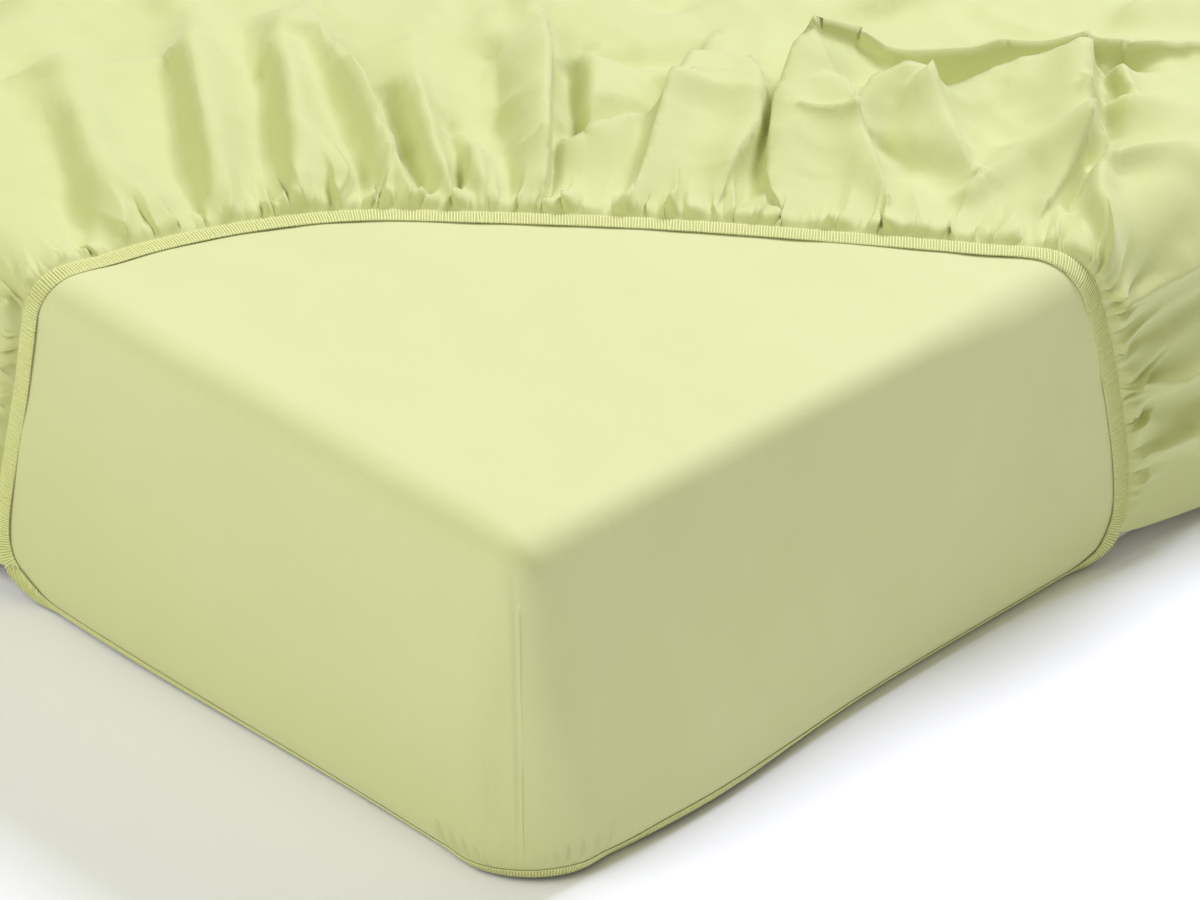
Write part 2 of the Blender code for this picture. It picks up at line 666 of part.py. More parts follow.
def thicken(verts, faces, half):
    """Closed solid of a sheet: both sides and the rim between them."""
    pts = np.array([tuple(v) for v in verts])
    normals = np.zeros_like(pts)
    for face in faces:
        a = pts[face[0]]
        for i in range(1, len(face) - 1):
            n = np.cross(pts[face[i]] - a, pts[face[i + 1]] - a)
            for k in (face[0], face[i], face[i + 1]):
                normals[k] += n
    normals /= np.maximum(np.linalg.norm(normals, axis=1)[:, None], 1e-12)
    count = len(pts)
    both = np.vstack([pts + normals * half, pts - normals * half])
    out = [tuple(face) for face in faces]
    out.extend(tuple(k + count for k in reversed(face)) for face in faces)
    used = set()
    for face in faces:
        for i in range(len(face)):
            used.add((face[i], face[(i + 1) % len(face)]))
    for a, b in used:
        if (b, a) not in used:
            out.append((b, a, a + count, b + count))
    return both, out


def build_sheet(hem, foot, bend):
    """The sheet: smooth layer, bend and turned-back layer, one closed solid."""
    radii = bend_radii(bend)
    inner_ring = np.vstack([foot[:-1], bend[:-1]])
    outer_ring = np.vstack([hem[:-1], bend[::-1][:-1]])

    lines = ROLL_LINES + [ROLL_END + down for down in FACE_ROWS]
    rows = roll_rows(inner_ring, FACE_ROW_MARGIN, FACE_ROW_STEP, lines)
    rows += roll_rows(inner_ring, FOOT_ROW_MARGIN, FOOT_ROW_STEP, [FACE_END + down for down in FOOT_ROWS])
    taken = [p for row in rows for p in row]
    taken += [tuple(p) for p in inner_ring]

    def inner_spacing(p):
        return 0.0 if core_distance(p) > LIP - INNER_TOP_MARGIN else INNER_STEP

    loose, offer = loose_points(inner_ring, taken, inner_spacing, INNER_MARGIN)
    offer_grid(offer, INNER_FROM, GRID_TO, INNER_STEP)
    verts_in, tris_in, edge_in = triangulate(inner_ring, rows, loose)

    # Rows that follow the hem, so that the cloth under the tape stays flat
    tangent = np.gradient(hem, axis=0)
    tangent /= np.linalg.norm(tangent, axis=1)[:, None]
    outward = np.stack([tangent[:, 1], -tangent[:, 0]], axis=1)
    hem_rows = []
    for offset in HEM_ROWS:
        places = (hem + outward * (GATHER_START + offset))[2:-2]
        row = [tuple(p) for p in places if inside(p, outer_ring)]
        hem_rows.append(row)
    outer_line = np.vstack([outer_ring, outer_ring[:1]])
    for k, row in enumerate(hem_rows):
        hem_rows[k] = [p for p in row if polyline_distance(np.array(p), outer_line) > HEM_ROW_MARGIN]
    taken = [p for row in hem_rows for p in row]
    taken += [tuple(p) for p in outer_ring]

    def outer_spacing(p):
        d = polyline_distance(np.array(p), hem)
        if d < GATHER_START + HEM_ROWS_REACH:
            return 0.0
        if d < SEEN_REACH:
            return FINE_STEP
        q = core_distance(p)
        if LIP - OUTER_ROLL_MARGIN < q < ROLL_END + OUTER_ROLL_MARGIN:
            return ROLL_STEP
        return COARSE_STEP

    loose, offer = loose_points(outer_ring, taken, outer_spacing, OUTER_MARGIN)
    for fold in FOLDS:
        crest = fold[2:]
        for a, b in zip(crest[:-1], crest[1:]):
            count = max(int(math.hypot(b[0] - a[0], b[1] - a[1]) / FINE_STEP), 1)
            for i in range(count + 1):
                offer((a[0] + (b[0] - a[0]) * i / count, a[1] + (b[1] - a[1]) * i / count))
    offer_grid(offer, OUTER_FROM, GRID_TO, FINE_STEP)
    verts_out, tris_out, edge_out = triangulate(outer_ring, hem_rows, loose)

    points = [wrap(p[0], p[1], inner_height(p)) for p in verts_in]
    faces = [tuple(t) for t in tris_in]
    bend_count = len(bend)
    last_foot = len(foot) - 1
    inner_bend = [edge_in[last_foot + i] for i in range(bend_count - 1)] + [edge_in[0]]

    first_out = len(points)
    place = {}
    for i in range(bend_count - 1):
        place[edge_out[len(hem) - 1 + i]] = bend_count - 1 - i
    place[edge_out[0]] = 0
    for i, p in enumerate(verts_out):
        if i in place:
            points.append(wrap(p[0], p[1], inner_height(p) + 2 * radii[place[i]]))
        else:
            near = int(np.argmin(np.hypot(bend[:, 0] - p[0], bend[:, 1] - p[1])))
            points.append(wrap(p[0], p[1], outer_height(np.array(p), hem, bend, radii[near])))
    faces.extend((first_out + t[2], first_out + t[1], first_out + t[0]) for t in tris_out)
    outer_bend = [0] * bend_count
    for vertex, i in place.items():
        outer_bend[i] = first_out + vertex

    tangent = np.gradient(bend, axis=0)
    tangent /= np.linalg.norm(tangent, axis=1)[:, None]
    away = np.stack([tangent[:, 1], -tangent[:, 0]], axis=1)
    rings = [inner_bend]
    for j in range(1, BEND_STEPS):
        a = math.pi * j / BEND_STEPS
        ring = []
        for i in range(bend_count):
            p = bend[i] + away[i] * radii[i] * math.sin(a)
            ring.append(len(points))
            points.append(wrap(p[0], p[1], inner_height(bend[i]) + radii[i] * (1 - math.cos(a))))
        rings.append(ring)
    rings.append(outer_bend)
    for low, high in zip(rings[:-1], rings[1:]):
        for i in range(bend_count - 1):
            faces.append((low[i + 1], low[i], high[i], high[i + 1]))

    both, solid = thicken(points, faces, CLOTH_T / 2)
    return add_object("sheet", both, solid, material("cotton", CLOTH_COLOUR, 0.75))


def build_elastic(loop, feet):
    """Closed elastic tape that lies over the whole cloth edge."""
    count = len(loop)
    tangent = (np.roll(loop, -1, axis=0) - np.roll(loop, 1, axis=0))
    tangent /= np.linalg.norm(tangent, axis=1)[:, None]
    outward = np.stack([tangent[:, 1], -tangent[:, 0]], axis=1)
    half = TAPE_W / 2
    verts = []
    for i in range(count):
        p = loop[i]
        turned = smooth((core_distance(p) - FACE_END - TAPE_TURN_FROM) / TAPE_TURN_OVER)
        foot = min(math.hypot(p[0] - f[0], p[1] - f[1]) for f in feet)
        near_foot = smooth((FOOT_REACH - foot) / FOOT_OVER)
        under = inner_height(p) + CLOTH_T / 2 + TAPE_GAP
        over = under + CLOTH_T + LAYER_GAP
        lows = [over - TAPE_DIP_NEAR, over, over]
        flats = [under, under, under - TAPE_DIP_UNDER]
        raised = over + FOOT_LIFT
        for k, w in enumerate((-half, 0.0, half)):
            low = lows[k] * (1 - turned) + flats[k] * turned
            low = low * (1 - near_foot) + raised * near_foot
            edge = p + outward[i] * w
            verts.append(wrap(edge[0], edge[1], low))
        for k, w in enumerate((half, 0.0, -half)):
            low = lows[2 - k] * (1 - turned) + flats[2 - k] * turned
            low = low * (1 - near_foot) + raised * near_foot
            thick = TAPE_T if w == 0.0 else TAPE_T - TAPE_THINNER_RIM
            edge = p + outward[i] * w
            verts.append(wrap(edge[0], edge[1], low + thick))
    faces = []
    ring = len(verts) // count
    for i in range(count):
        a = i * ring
        b = ((i + 1) % count) * ring
        for k in range(ring):
            m = (k + 1) % ring
            faces.append((a + k, a + m, b + m, b + k))
    return add_object("elastic_edge", verts, faces, material("elastic", TAPE_COLOUR, 0.8))


def tuck(to_end, to_side, along):
    """Rolled-out distance at which the hem sits under a face, less deep where the cloth is slack."""
    x = -CORE_X - FACE_END * to_end if along is None or to_side == 0.0 else along
    y = -CORE_Y - FACE_END * to_side if along is None or to_end == 0.0 else along
    stand_off = slack(x, y) + taut_lift(x, y, EDGE_GAP) - EDGE_GAP
    return HEM_Q - TUCK_LESS * min(stand_off / SLACK_SIDE, TUCK_MOST)


def hem_curves():
    """Climbing part of the hem, the part under the mattress side, and the bend."""
    foot_points = [HEM_POINTS[-1]]
    foot_points += [(-CORE_X - tuck(1.0, 0.0, y) + lift, y) for y, lift in END_TURN]
    foot_points += [(-CORE_X - tuck(1.0, 0.0, y), y) for y in END_FOOT_Y]
    for a in [math.radians(turn) for turn in CORNER_TURNS]:
        q = tuck(math.cos(a), math.sin(a), None)
        foot_points.append((-CORE_X - q * math.cos(a), -CORE_Y - q * math.sin(a)))
    foot_points += [(x, -CORE_Y - tuck(0.0, 1.0, x)) for x in SIDE_FOOT_X]
    foot_points += [(x, -CORE_Y - tuck(0.0, 1.0, x) + lift) for x, lift in SIDE_TURN]
    loop = spline(HEM_POINTS + foot_points[1:], closed=True)
    climb_end = SPAN_POINTS * (len(HEM_POINTS) - 1)
    climb = loop[:climb_end + 1]
    under = np.vstack([loop[climb_end:], loop[:1]])
    hem = resample(climb, HEM_STEP, ROUND_STEP)
    foot = resample(under, FOOT_STEP, ROUND_STEP)
    bend = resample(spline(BEND_POINTS), BACK_STEP, ROUND_STEP)
    tape = resample(loop, TAPE_STEP, TAPE_STEP_ROUND, closed=True)
    return hem, foot, bend, tape


def main():
    for obj in list(bpy.data.objects):
        bpy.data.objects.remove(obj, do_unlink=True)
    hem, foot, bend, tape = hem_curves()
    build_mattress()
    build_sheet(hem, foot, bend)
    build_elastic(tape, [HEM_POINTS[0], HEM_POINTS[-1]])


main()
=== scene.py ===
# %% [markdown]
# # A fitted sheet, half put on
#
# The real object is one cotton fitted sheet on a single mattress. It is hooked over one
# corner, and the rest of it is turned back, so its elastic edge crosses the top and the
# gathered cloth lies in folds behind it.
#
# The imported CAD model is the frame: every piece below is made in its metres and rides on it.

import json
import math

import bmesh
import bpy
import numpy as np
from mathutils import Matrix, Vector
from mathutils.geometry import delaunay_2d_cdt

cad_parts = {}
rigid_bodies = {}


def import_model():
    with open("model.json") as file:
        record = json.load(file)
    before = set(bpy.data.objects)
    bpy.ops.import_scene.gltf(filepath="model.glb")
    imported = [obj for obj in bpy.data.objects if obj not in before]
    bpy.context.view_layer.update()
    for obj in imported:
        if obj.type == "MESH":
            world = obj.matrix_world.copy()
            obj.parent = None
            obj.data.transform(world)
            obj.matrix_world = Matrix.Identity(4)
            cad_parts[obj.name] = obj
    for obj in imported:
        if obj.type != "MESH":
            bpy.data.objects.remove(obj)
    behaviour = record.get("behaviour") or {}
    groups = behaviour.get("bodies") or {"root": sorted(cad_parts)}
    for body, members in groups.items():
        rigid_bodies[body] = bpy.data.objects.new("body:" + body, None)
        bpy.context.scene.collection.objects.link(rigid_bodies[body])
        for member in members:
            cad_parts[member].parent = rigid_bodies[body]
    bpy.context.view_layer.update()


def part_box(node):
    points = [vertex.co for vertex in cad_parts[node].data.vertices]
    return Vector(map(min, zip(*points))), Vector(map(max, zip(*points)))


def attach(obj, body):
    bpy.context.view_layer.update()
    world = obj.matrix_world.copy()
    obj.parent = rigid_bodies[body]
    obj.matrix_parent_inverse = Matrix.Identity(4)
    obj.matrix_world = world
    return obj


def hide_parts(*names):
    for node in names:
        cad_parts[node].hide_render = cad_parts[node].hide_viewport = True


for old in list(bpy.data.objects):
    bpy.data.objects.remove(old)

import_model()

# %% [markdown]
# ## Sizes of the mattress
#
# All cloth on a bed follows the mattress, so the mattress gives the first numbers. A fitted
# sheet is easiest to describe on a mattress that has been rolled out flat: the top is the
# middle of the plan, and each side face is a strip beside it. A place on that plan is
# (x, y), and q is how far it lies outside the flat core, round the edge and down the face.
# The two turns say how far the hem and the bend sit round the lower edge, in degrees.

# %% Mattress sizes
box_low, box_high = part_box("mattress")
LENGTH = box_high.x - box_low.x
WIDTH = box_high.y - box_low.y
HEIGHT = box_high.z
CORNER_R = 0.085
EDGE_R = 0.03
CORE_X = LENGTH / 2 - CORNER_R
CORE_Y = WIDTH / 2 - CORNER_R
LIP = CORNER_R - EDGE_R
ROLL_END = LIP + EDGE_R * math.pi / 2
FACE_END = ROLL_END + HEIGHT - 2 * EDGE_R
HEM_TURN = 39
BEND_TURN = 14
HEM_Q = FACE_END + EDGE_R * math.radians(HEM_TURN)
FOLD_Q = FACE_END + EDGE_R * math.radians(BEND_TURN)
TINY = 1e-9
print(f"mattress {LENGTH:.3f} x {WIDTH:.3f} x {HEIGHT:.3f} m, hem {HEM_Q:.3f} m from the core")


# %% [markdown]
# ## From the flat plan to the bed
#
# A tailor drapes cloth from a flat pattern. `wrap` does the same in numbers: it takes places
# on the rolled-out plan and heights above the mattress skin, and gives points in space. It
# works on whole arrays at once, which keeps a fine mesh quick to build.

# %% Wrap the plan round the mattress
def soft_step(t):
    """Soft step from 0 to 1."""
    t = np.clip(t, 0.0, 1.0)
    return t * t * (3 - 2 * t)


def core_offset(x, y):
    """Nearest place of the flat core, outward direction and rolled-out distance."""
    cx = np.clip(x, -CORE_X, CORE_X)
    cy = np.clip(y, -CORE_Y, CORE_Y)
    q = np.hypot(x - cx, y - cy)
    safe = np.maximum(q, TINY)
    return cx, cy, (x - cx) / safe, (y - cy) / safe, q


def wrap(x, y, h):
    """Points in space for places (x, y) of the plan, h above the mattress skin."""
    x, y, h = np.broadcast_arrays(*(np.asarray(v, dtype=float) for v in (x, y, h)))
    cx, cy, nx, ny, q = core_offset(x, y)
    roll = (np.clip(q, LIP, ROLL_END) - LIP) / EDGE_R
    under = (np.maximum(q, FACE_END) - FACE_END) / EDGE_R
    on_top = q <= LIP
    on_roll = (q > LIP) & (q <= ROLL_END)
    on_face = (q > ROLL_END) & (q <= FACE_END)
    out = np.select(
        [on_top, on_roll, on_face],
        [q, LIP + (EDGE_R + h) * np.sin(roll), CORNER_R + h],
        LIP + (EDGE_R + h) * np.cos(under),
    )
    z = np.select(
        [on_top, on_roll, on_face],
        [
            HEIGHT + h,
            HEIGHT - EDGE_R + (EDGE_R + h) * np.cos(roll),
            HEIGHT - EDGE_R - (q - ROLL_END),
        ],
        EDGE_R - (EDGE_R + h) * np.sin(under),
    )
    return np.stack([cx + nx * out, cy + ny * out, z], axis=-1)


# %% [markdown]
# ## How tight cloth passes over the edges
#
# Tight cotton doesn't follow the rounded mattress exactly. It spans the edge with a radius of
# its own: crisp along the long side near the hooked corner, softer along the short end, and
# very round low on the corner seam. `taut_lift` finds how high the cloth stands over each
# place by walking out along the mattress normal until it meets that surface.

# %% Lift of the tight cloth
CLOTH_T = 0.002
FLAT_GAP = 0.0005
EDGE_GAP = 0.002
EDGE_GAP_FROM = 0.035
EDGE_GAP_OVER = 0.030
SIDE_EDGE_R = 0.017
END_EDGE_R = 0.028
SOFTEN_FROM_X = -0.62
SOFTEN_OVER = 0.17
SEAM_R_TOP = 0.026
SEAM_R_FOOT = 0.076
SEAM_R_GROWTH = 0.7
EDGE_BLEND = 0.02
MOST_LIFT = 0.08
HALVINGS = 22


def cloth_side(p, gap):
    """Below zero inside the tight cloth, above zero outside it."""
    out = np.stack([-LENGTH / 2 - p[..., 0], -WIDTH / 2 - p[..., 1], p[..., 2] - HEIGHT])
    blend = EDGE_BLEND ** 2
    near_side = 1 / (blend + out[1] ** 2 + out[2] ** 2)
    near_end = 1 / (blend + out[0] ** 2 + out[2] ** 2)
    near_seam = 1 / (blend + out[0] ** 2 + out[1] ** 2)
    down = soft_step(-out[2] / HEIGHT)
    seam_r = SEAM_R_TOP + (SEAM_R_FOOT - SEAM_R_TOP) * down ** SEAM_R_GROWTH
    softer = soft_step((p[..., 0] - SOFTEN_FROM_X) / SOFTEN_OVER)
    side_r = SIDE_EDGE_R + (END_EDGE_R - SIDE_EDGE_R) * softer
    r = near_side * side_r + near_end * END_EDGE_R + near_seam * seam_r
    r = r / (near_side + near_end + near_seam)
    return np.sqrt(np.sum(np.maximum(out + r, 0.0) ** 2, axis=0)) - r - gap


def taut_lift(x, y, gap):
    """Height at which the tight cloth passes over places of the plan."""
    cx, cy, nx, ny, q = core_offset(x, y)
    q_seen = np.minimum(q, FACE_END)
    sx = cx + nx * q_seen
    sy = cy + ny * q_seen
    start = wrap(sx, sy, 0.0)
    step = wrap(sx, sy, 1.0) - start
    low = np.zeros(q.shape)
    high = np.full(q.shape, MOST_LIFT)
    for _ in range(HALVINGS):
        middle = (low + high) / 2
        outside = cloth_side(start + step * middle[..., None], gap) > 0
        high = np.where(outside, middle, high)
        low = np.where(outside, low, middle)
    return np.where(q > 0, (low + high) / 2, gap)


# %% [markdown]
# ## Slack low on the faces
#
# The elastic pulls the cloth under the mattress, but not evenly: in the picture the bottom
# edge bulges out a little on both faces. One soft swelling on each face gives that outline.

# %% Slack and the height of the smooth layer
SLACK_FROM = 0.16
SLACK_SIDE = 0.012
SLACK_SIDE_X = -0.82
SLACK_SIDE_REACH = 0.13
SLACK_END = 0.010
SLACK_END_Y = 0.00
SLACK_END_REACH = 0.24
TUCK_LESS = 0.0105
TUCK_MOST = 1.35


def slack(x, y):
    """How far the loose cloth stands off low on the two faces."""
    dx = np.maximum(-CORE_X - x, 0.0)
    dy = np.maximum(-CORE_Y - y, 0.0)
    q = np.maximum(np.hypot(dx, dy), TINY)
    lower = soft_step((q - SLACK_FROM) / (FACE_END - SLACK_FROM))
    side_place = (np.maximum(x, -CORE_X) - SLACK_SIDE_X) / SLACK_SIDE_REACH
    end_place = (np.maximum(y, -CORE_Y) - SLACK_END_Y) / SLACK_END_REACH
    on_side = (dy / q) ** 2 * np.exp(-(side_place ** 2))
    on_end = (dx / q) ** 2 * np.exp(-(end_place ** 2))
    return lower * (SLACK_SIDE * on_side + SLACK_END * on_end)


def smooth_height(x, y):
    """Height of the middle of the smooth layer that hugs the mattress."""
    x = np.asarray(x, dtype=float)
    y = np.asarray(y, dtype=float)
    q = core_offset(x, y)[4]
    gap = FLAT_GAP + (EDGE_GAP - FLAT_GAP) * soft_step((q - LIP + EDGE_GAP_FROM) / EDGE_GAP_OVER)
    return CLOTH_T / 2 + taut_lift(x, y, gap) + slack(x, y)


corner_lift = float(smooth_height(-CORE_X - LIP, -CORE_Y - LIP))
print(f"lift at the corner of the top {corner_lift:.4f} m")

# %% [markdown]
# ## The line of the elastic edge
#
# The edge is one closed loop. It climbs the long side about 0.65 m from the hooked corner,
# crosses the top in a flat curve, goes down the short end and comes back under both faces.
# Behind it lies the bend where the cloth turns back on itself. Both could be drawn in space, but on the
# plan two numbers a place are enough.

# %% Places of the edge and of the bend
HEM_POINTS = [
    # (x, y) on the plan, from the foot on the long side, over the top, to the foot on the end
    (-0.343, -0.755), (-0.337, -0.740), (-0.338, -0.702), (-0.364, -0.598),
    (-0.395, -0.514), (-0.427, -0.459), (-0.502, -0.352), (-0.596, -0.227),
    (-0.689, -0.121), (-0.754, -0.054), (-0.821, -0.012), (-0.897, 0.016),
    (-0.974, 0.030), (-1.060, 0.052), (-1.160, 0.078), (-1.225, 0.090),
    (-1.242, 0.088), (-1.256, 0.081),
]
# (place along the face, rise above the tucked edge) where the edge turns up the two faces
END_TURN = [(0.069, 0.006), (0.052, 0.0005), (0.030, 0.0)]
SIDE_TURN = [(-0.400, 0.0), (-0.376, 0.0005), (-0.357, 0.006)]
END_FOOT_Y = (-0.05, -0.15, -0.25, -0.35)
SIDE_FOOT_X = (-0.86, -0.76, -0.66, -0.56, -0.46)
CORNER_TURNS = (0, 15, 30, 45, 60, 75, 90)
BEND_POINTS = [
    # (x, y) on the plan where the cloth turns back, from the side foot to the end foot
    (-0.343, -0.755), (-0.310, -CORE_Y - FOLD_Q + 0.003), (-0.240, -CORE_Y - FOLD_Q),
    (0.000, -CORE_Y - FOLD_Q), (0.260, -CORE_Y - FOLD_Q), (0.370, -CORE_Y - FOLD_Q + 0.010),
    (0.430, -0.710), (0.450, -0.620), (0.452, -0.500), (0.458, -0.380), (0.445, -0.200),
    (0.425, 0.000), (0.385, 0.190), (0.300, 0.340), (0.180, 0.420), (0.000, 0.446),
    (-0.300, 0.452), (-0.600, 0.446), (-0.850, 0.440), (-0.960, 0.432), (-1.060, 0.425),
    (-1.160, 0.418), (-1.225, 0.400), (-CORE_X - FOLD_Q + 0.004, 0.360),
    (-CORE_X - FOLD_Q, 0.300), (-CORE_X - FOLD_Q, 0.200), (-CORE_X - FOLD_Q + 0.001, 0.130),
    (-1.256, 0.081),
]
print(f"{len(HEM_POINTS)} places along the edge, {len(BEND_POINTS)} along the bend")

# %% [markdown]
# ## Smooth curves through the places
#
# A bent ruler laid through a few pins gives a fair line. `smooth_curve` is a Catmull-Rom
# spline that does so without overshooting where the pins are close together. `space_out` then
# walks the curve in space, because cloth is measured along itself and not on the plan.

# %% Curves
SPAN_POINTS = 24


def smooth_curve(points, closed=False):
    """Dense smooth curve through places of the plan."""
    pts = [np.array(p, dtype=float) for p in points]
    n = len(pts)
    out = []
    for i in range(n if closed else n - 1):
        p1 = pts[i]
        p2 = pts[(i + 1) % n]
        p0 = pts[i - 1] if closed or i > 0 else 2 * p1 - p2
        p3 = pts[(i + 2) % n] if closed or i + 2 < n else 2 * p2 - p1
        k1, k2, k3 = (np.linalg.norm(b - a) ** 0.5 for a, b in ((p0, p1), (p1, p2), (p2, p3)))
        for step in range(SPAN_POINTS):
            t = k1 + k2 * step / SPAN_POINTS
            a1 = (p0 * (k1 - t) + p1 * t) / k1
            a2 = (p1 * (k1 + k2 - t) + p2 * (t - k1)) / k2
            a3 = (p2 * (k1 + k2 + k3 - t) + p3 * (t - k1 - k2)) / k3
            b1 = (a1 * (k1 + k2 - t) + a2 * t) / (k1 + k2)
            b2 = (a2 * (k1 + k2 + k3 - t) + a3 * (t - k1)) / (k2 + k3)
            out.append((b1 * (k1 + k2 - t) + b2 * (t - k1)) / k2)
    if not closed:
        out.append(pts[-1])
    return np.array(out)


def space_out(line, count, closed=False):
    """Evenly spaced places along a curve, measured in space."""
    if closed:
        line = np.vstack([line, line[:1]])
    solid = wrap(line[:, 0], line[:, 1], smooth_height(line[:, 0], line[:, 1]))
    run = np.concatenate([[0.0], np.cumsum(np.linalg.norm(np.diff(solid, axis=0), axis=1))])
    marks = np.linspace(0.0, run[-1], count + 1)
    if closed:
        marks = marks[:-1]
    places = np.stack([np.interp(marks, run, line[:, k]) for k in (0, 1)], axis=1)
    return places, run[-1]


bend_line = smooth_curve(BEND_POINTS)
print(f"the bend is {space_out(bend_line, 1)[1]:.3f} m long")

# %% [markdown]
# ## The edge tucked under the mattress
#
# Under the mattress the edge can't be seen, but the lower outline of the cloth depends on how
# deep it sits. Where the cloth bulges out, less of it is left to turn under. So the depth is
# worked out from the slack, and the loop is closed through those places.

# %% Tuck the edge under
def tuck(to_end, to_side, along):
    """Distance at which the edge sits under a face, less deep where the cloth is slack."""
    x = -CORE_X - FACE_END * to_end if along is None or to_side == 0.0 else along
    y = -CORE_Y - FACE_END * to_side if along is None or to_end == 0.0 else along
    x = np.array([x])
    y = np.array([y])
    stand_off = float((slack(x, y) + taut_lift(x, y, EDGE_GAP))[0]) - EDGE_GAP
    return HEM_Q - TUCK_LESS * min(stand_off / SLACK_SIDE, TUCK_MOST)


foot_points = [HEM_POINTS[-1]]
foot_points += [(-CORE_X - tuck(1.0, 0.0, y) + up, y) for y, up in END_TURN]
foot_points += [(-CORE_X - tuck(1.0, 0.0, y), y) for y in END_FOOT_Y]
for degrees in CORNER_TURNS:
    turn = math.radians(degrees)
    deep = tuck(math.cos(turn), math.sin(turn), None)
    foot_points.append((-CORE_X - deep * math.cos(turn), -CORE_Y - deep * math.sin(turn)))
foot_points += [(x, -CORE_Y - tuck(0.0, 1.0, x)) for x in SIDE_FOOT_X]
foot_points += [(x, -CORE_Y - tuck(0.0, 1.0, x) + up) for x, up in SIDE_TURN]

edge_loop = smooth_curve(HEM_POINTS + foot_points[1:], closed=True)
climb_end = SPAN_POINTS * (len(HEM_POINTS) - 1)
climb_line = edge_loop[:climb_end + 1]
foot_line = np.vstack([edge_loop[climb_end:], edge_loop[:1]])
climb_length = space_out(climb_line, 1)[1]
foot_length = space_out(foot_line, 1)[1]
print(f"elastic edge: {climb_length:.3f} m climbing and crossing, {foot_length:.3f} m tucked under")

# %% [markdown]
# ## The gathered strip beside the elastic
#
# Gathers fan out from the elastic, so the mesh does too: its columns start square to the
# elastic edge. A column about every millimetre and close rows hold the small puckers that live
# in the first 60 mm. Where the strip runs out at the two feet, it narrows to nothing.

# %% Columns and rows of the gathered strip
STRIP_COLUMNS = 1400
STRIP_ROWS = 24
STRIP_REACH = 0.060
FULL_DEPTH = 0.30
EVEN_ROWS = 0.50
BEND_IN = 0.8
BACK_COLUMNS = STRIP_COLUMNS // 2


def columns(count):
    """Start, direction square to the edge, end on the bend and run along the edge."""
    start, total = space_out(climb_line, count)
    end, _ = space_out(bend_line, count)
    along = np.gradient(start, axis=0)
    along /= np.linalg.norm(along, axis=1)[:, None]
    square = np.stack([along[:, 1], -along[:, 0]], axis=1)
    return start, square, end, np.linspace(0.0, total, count + 1)


def row_places(start, square, end, offsets, depth):
    """Places of one row, straight out at first and then bending to the column's end."""
    share = np.where(depth > 0, offsets / np.maximum(depth, TINY), 0.0)
    pull = np.where(share >= 1.0, 1.0, soft_step(share) ** BEND_IN * share)
    straight = start + square * offsets[:, None]
    aimed = start + (end - start) * share[:, None]
    return straight * (1 - pull[:, None]) + aimed * pull[:, None]


start, square, end, edge_run = columns(STRIP_COLUMNS)
depth = np.linalg.norm(end - start, axis=1)
strip_scale = np.minimum(depth / FULL_DEPTH, 1.0)
strip_rows = []
for j in range(STRIP_ROWS + 1):
    t = j / STRIP_ROWS
    offsets = STRIP_REACH * (EVEN_ROWS * t + (1 - EVEN_ROWS) * t * t) * strip_scale
    strip_rows.append((row_places(start, square, end, offsets, depth), offsets))
print(f"gathered strip {len(strip_rows)} rows x {STRIP_COLUMNS + 1} columns")
